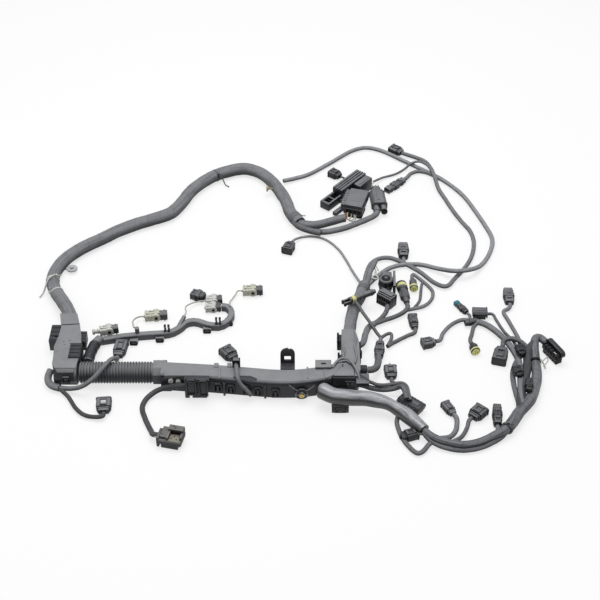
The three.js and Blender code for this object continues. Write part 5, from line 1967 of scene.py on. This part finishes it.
            rings.bar(cut_rectangle(width, height, 4.6, base), (x, x + 2.4))
        for y in (-5.5, -1, 3.5):
            rings.box((48.6, 53), (y, y + 2), (6, 15.5))
        rings.box((8, 32), (-2, 2), (17.2, 18.7))
        rings.turned([(-14, 5.4), (-13.4, 5.8), (-11.4, 5.8), (-10.8, 5.4)], 6, 9, 24)
        rings.build("boot_rings", *self.boots, bevel=0.3)
        hollow = Solids().use(Finish.INNER)
        hollow.turned([(-15.2, 4.2), (-14.8, 5.2), (-12.6, 5.3), (-12.4, 5.0)], -6, 9, 24)
        hollow.build("boot_hollow", *self.boots, bevel=0)

    def loose(self) -> None:
        """Adds the clips, the tails of the ties, the ring terminal and the bare ends."""
        clear = Solids().use(Finish.CLEAR)
        clear.post(
            -275.9, 259,
            [(4.4, 7.4), (4.0, 8.2), (5.0, 8.6), (6.4, 8.2), (6.0, 6.6), (6.0, 2.8), (9.2, 2.4), (9.2, 1.2)],
            28,
        )
        clear.box((-290, -275), (256, 259.6), (4.6, 5.8))
        clear.build("round_clip", bevel=0)
        fir = Solids().use(Finish.BEIGE)
        fir.turned([(19, 2.0), (19.4, 5.6), (21.4, 5.6), (22, 3.0), (24, 1.6), (32, 1.6)], 462.5, 13, 20)
        for x in (24.6, 26.8, 29):
            fir.turned([(x, 1.5), (x + 0.3, 3.0), (x + 1.0, 1.5)], 462.5, 13, 12)
        fir.build("fir_clip", bevel=0)
        tails = (
            (
                Finish.TIE,
                [(-296, 226, 20), (-303, 215, 21), (-307, 208, 14), (-311, 201, 5), (-316, 194, 1.6)], 1.3,
            ),
            (Finish.TIE, [(62, 403, 12), (70, 401.4, 6), (78, 401.8, 2.4), (84, 402.6, 1.4)], 1.1),
            (Finish.TIE, [(62, 399, 12), (68, 396.4, 5), (74, 393, 2.2)], 1.0),
            (Finish.BLACK, [(-59, 500, 15), (-54, 494, 8), (-50, 488, 2.4), (-44, 484, 1.4)], 1.0),
            (Finish.TIE, [(404, 45, 16), (412, 46, 13), (418, 42, 6), (420, 37, 1.8)], 1.0),
            (Finish.WIRE, [(411, 44, 16), (413, 38, 14), (410, 32, 12)], 0.9),
            (Finish.WIRE, [(413, 38, 14), (417, 41, 16), (421, 45, 17)], 0.9),
            (Finish.WIRE, [(415, 32, 12), (422, 40, 14), (422, 47, 17)], 0.9),
            (Finish.WIRE, [(189.6, 258, 11), (190.4, 251, 9), (191.6, 246, 6.4)], 0.8),
            (Finish.WIRE, [(191.4, 259, 13), (193, 252, 12), (195.4, 248, 9)], 0.8),
            (Finish.WIRE, [(199.6, 488.5, 8.6), (197.4, 484.4, 8.6), (194.8, 481.2, 8)], 0.9),
        )
        for number, (finish, points, radius) in enumerate(tails):
            tail = Solids().use(finish)
            tail.along(spline(points, 1.5), radius, 8)
            tail.build(f"tail_{number}", bevel=0)
        ring = Solids().use(Finish.PALE)
        circle = [
            (189.2 + 4.2 * math.cos(turn), 229.5 + 4.2 * math.sin(turn), 12)
            for turn in (math.radians(15 * i) for i in range(25))
        ]
        ring.along([Vector(point) for point in circle], 1.3, 10)
        ring.along(spline([(189, 234, 12), (189.6, 240, 11), (191, 248, 9)], 1.5), 1.3, 8)
        ring.build("ring_terminal", bevel=0)
        tip = Solids().use(Finish.PALE)
        tip.turned([(21.4, 2.4), (23, 2.4), (23.4, 1.6), (28, 1.5), (28.6, 0.8)], 0, 8, 16)
        tip.build("tipped_plug_tip", (202, 14, 0), 92, bevel=0)
        bud = Solids().use(Finish.BLACK)
        bud.turned(
            [(-9, 1.2), (-8.4, 4.2), (-3, 4.9), (-2.4, 5.6), (0.4, 5.6), (1, 4.6), (9, 4.9)], 0, 5.8, 20
        )
        bud.build("loom_bud", (324, 132.5, 0), 20, bevel=0)
        mouth = Solids().use(Finish.PALE)
        mouth.box((19, 24.6), (-6.6, 6.6), (7, 11.4))
        mouth.box((8, 17), (-3.6, 3.6), (12.4, 13.2))
        mouth.build("open_plug_face", (-190, -53, 0), 95, bevel=0.3)

    def spring(self) -> None:
        """Adds the brass stud and the dark plate behind the spring clip."""
        stud = Solids().use(Finish.BRASS)
        stud.knob(77.5, 12.5, [(-26, 3.4), (-28.4, 3.4), (-29.0, 2.8), (-29.0, 1.4), (-28.2, 1.3)])
        stud.build("spring_stud", bevel=0)
        plate = Solids().use(Finish.MID)
        plate.knob(77.5, 12.5, [(-22, 8.4), (-24, 8.4), (-24.4, 7.6)], 24)
        plate.build("spring_plate", bevel=0)

    def build(self) -> None:
        """Makes every detail."""
        self.duct()
        self.tee()
        self.box()
        self.rail()
        self.relay_group()
        self.loose()
        self.spring()


# The studio.


@dataclass
class Studio:
    """The camera, the floor, the lamps and the world.

    Attributes:
        aim: The point that the camera looks at.
        distance: The camera's distance from it.
        elevation: The camera's angle above the floor, in degrees.
        lens: Its focal length on a sensor 36 mm wide.
        floor_white: The floor's own white.
        glow: The strength of the white that the camera sees of the floor.
        glow_share: The share of that white. The rest is the lit floor with its shadows.
        sky_light: The strength of the world's light on the harness.
        top_power: The power of the lamp above, in watts.
        front_power: The power of the lamp in front, in watts.
    """

    aim: Point = (75, 190, 0)
    distance: float = 1875
    elevation: float = 40
    lens: float = 75
    floor_white: float = 0.93
    glow: float = 1.17
    glow_share: float = 0.6
    sky_light: float = 0.42
    top_power: float = 24
    front_power: float = 3.5

    def camera(self) -> None:
        """Sets up the camera at the photograph's viewing angle."""
        tilt = math.radians(self.elevation)
        data = bpy.data.cameras.new("camera")
        data.lens = self.lens
        data.sensor_width = 36
        data.clip_end = 50
        camera = bpy.data.objects.new("camera", data)
        away = Vector((0, -math.cos(tilt), math.sin(tilt))) * self.distance
        camera.location = (Vector(self.aim) + away) * MM
        camera.rotation_euler = (math.pi / 2 - tilt, 0, 0)
        bpy.context.scene.collection.objects.link(camera)
        bpy.context.scene.camera = camera

    def floor(self) -> None:
        """Makes the white floor, which keeps the soft shadows."""
        mesh = bmesh.new()
        bmesh.ops.create_grid(mesh, x_segments=2, y_segments=2, size=6)
        bmesh.ops.translate(mesh, verts=mesh.verts, vec=(0, 0, -0.0006))
        data = bpy.data.meshes.new("floor")
        mesh.to_mesh(data)
        mesh.free()
        nodes = Nodes("floor_white")
        nodes.drive("Base Color", (self.floor_white, self.floor_white, self.floor_white, 1))
        nodes.drive("Roughness", 0.8)
        rays = nodes.add("ShaderNodeLightPath").outputs
        mirrored = nodes.math("MAXIMUM", rays["Is Glossy Ray"], rays["Is Transmission Ray"])
        seen = nodes.math("MAXIMUM", rays["Is Camera Ray"], mirrored)
        glow = nodes.add("ShaderNodeEmission", {"Color": (1, 1, 1, 1), "Strength": self.glow})
        share = nodes.math("MULTIPLY", seen, self.glow_share)
        mixed = {0: share, 1: nodes.shader.outputs[0], 2: glow.outputs[0]}
        mix = nodes.add("ShaderNodeMixShader", mixed)
        output = next(node for node in nodes.tree.nodes if node.type == "OUTPUT_MATERIAL")
        nodes.tree.links.new(mix.outputs[0], output.inputs["Surface"])
        data.materials.append(nodes.material)
        floor = bpy.data.objects.new("floor", data)
        bpy.context.scene.collection.objects.link(floor)

    def lamp(self, name: str, place: Point, size: float, power: float) -> None:
        """Adds a soft square lamp that looks at the middle of the harness.

        Args:
            name: Its name.
            place: Its place in metres.
            size: Its side in metres.
            power: Its power in watts.
        """
        data = bpy.data.lights.new(name, "AREA")
        data.size = size
        data.energy = power
        lamp = bpy.data.objects.new(name, data)
        lamp.location = place
        lamp.rotation_euler = (Vector((0.06, 0.2, 0)) - Vector(place)).to_track_quat("-Z", "Y").to_euler()
        bpy.context.scene.collection.objects.link(lamp)

    def light(self) -> None:
        """Sets the lamps and a plain white world."""
        self.lamp("top", (0.0, 0.55, 2.1), 1.6, self.top_power)
        self.lamp("front", (-0.9, -1.3, 1.6), 1.4, self.front_power)
        world = bpy.data.worlds.new("studio")
        world.use_nodes = True
        tree = world.node_tree
        tree.nodes.clear()
        rays = tree.nodes.new("ShaderNodeLightPath").outputs
        strength = tree.nodes.new("ShaderNodeMapRange")
        strength.inputs["To Min"].default_value = self.sky_light
        strength.inputs["To Max"].default_value = 1.0
        tree.links.new(rays["Is Camera Ray"], strength.inputs["Value"])
        background = tree.nodes.new("ShaderNodeBackground")
        tree.links.new(strength.outputs[0], background.inputs["Strength"])
        output = tree.nodes.new("ShaderNodeOutputWorld")
        tree.links.new(background.outputs[0], output.inputs["Surface"])
        bpy.context.scene.world = world
        bpy.context.scene.view_settings.view_transform = "Standard"

    def build(self) -> None:
        """Sets up all of the studio."""
        self.camera()
        self.floor()
        self.light()


# The whole harness.


@dataclass
class Harness:
    """The whole harness.

    Attributes:
        nodes: The CAD nodes by name.
        plugs: The plugs by name.
        cables: The cables by name.
    """

    nodes: dict[str, bpy.types.Object]
    plugs: dict[str, Plug] = field(default_factory=lambda: {plug.name: plug for plug in PLUGS})
    cables: dict[str, Cable] = field(default_factory=lambda: {cable.name: cable for cable in CABLES})

    def build(self) -> None:
        """Makes the cables, the plugs and the rigid pieces."""
        for plug in self.plugs.values():
            plug.build()
        made = {name: cable.build(self.plugs) for name, cable in self.cables.items()}
        for name, cable in self.cables.items():
            if cable.free:
                cable.declare(made[name], self.plugs)
        for number, band in enumerate(BANDS):
            band.build(number, self.cables[band.cable], self.plugs)
        Rigid(self.nodes).build()
        Trim().build()
        free = sum(cable.free for cable in self.cables.values())
        LOG.info(
            "%d plugs, %d cables of which %d are free cords, %d bands", len(self.plugs), len(made), free,
            len(BANDS),
        )


def main() -> None:
    """Builds the scene."""
    logging.basicConfig(level=logging.INFO, format="%(name)s: %(message)s")
    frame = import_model()
    Studio().build()
    Harness(frame["nodes"]).build()


if __name__ == "__main__":
    main()
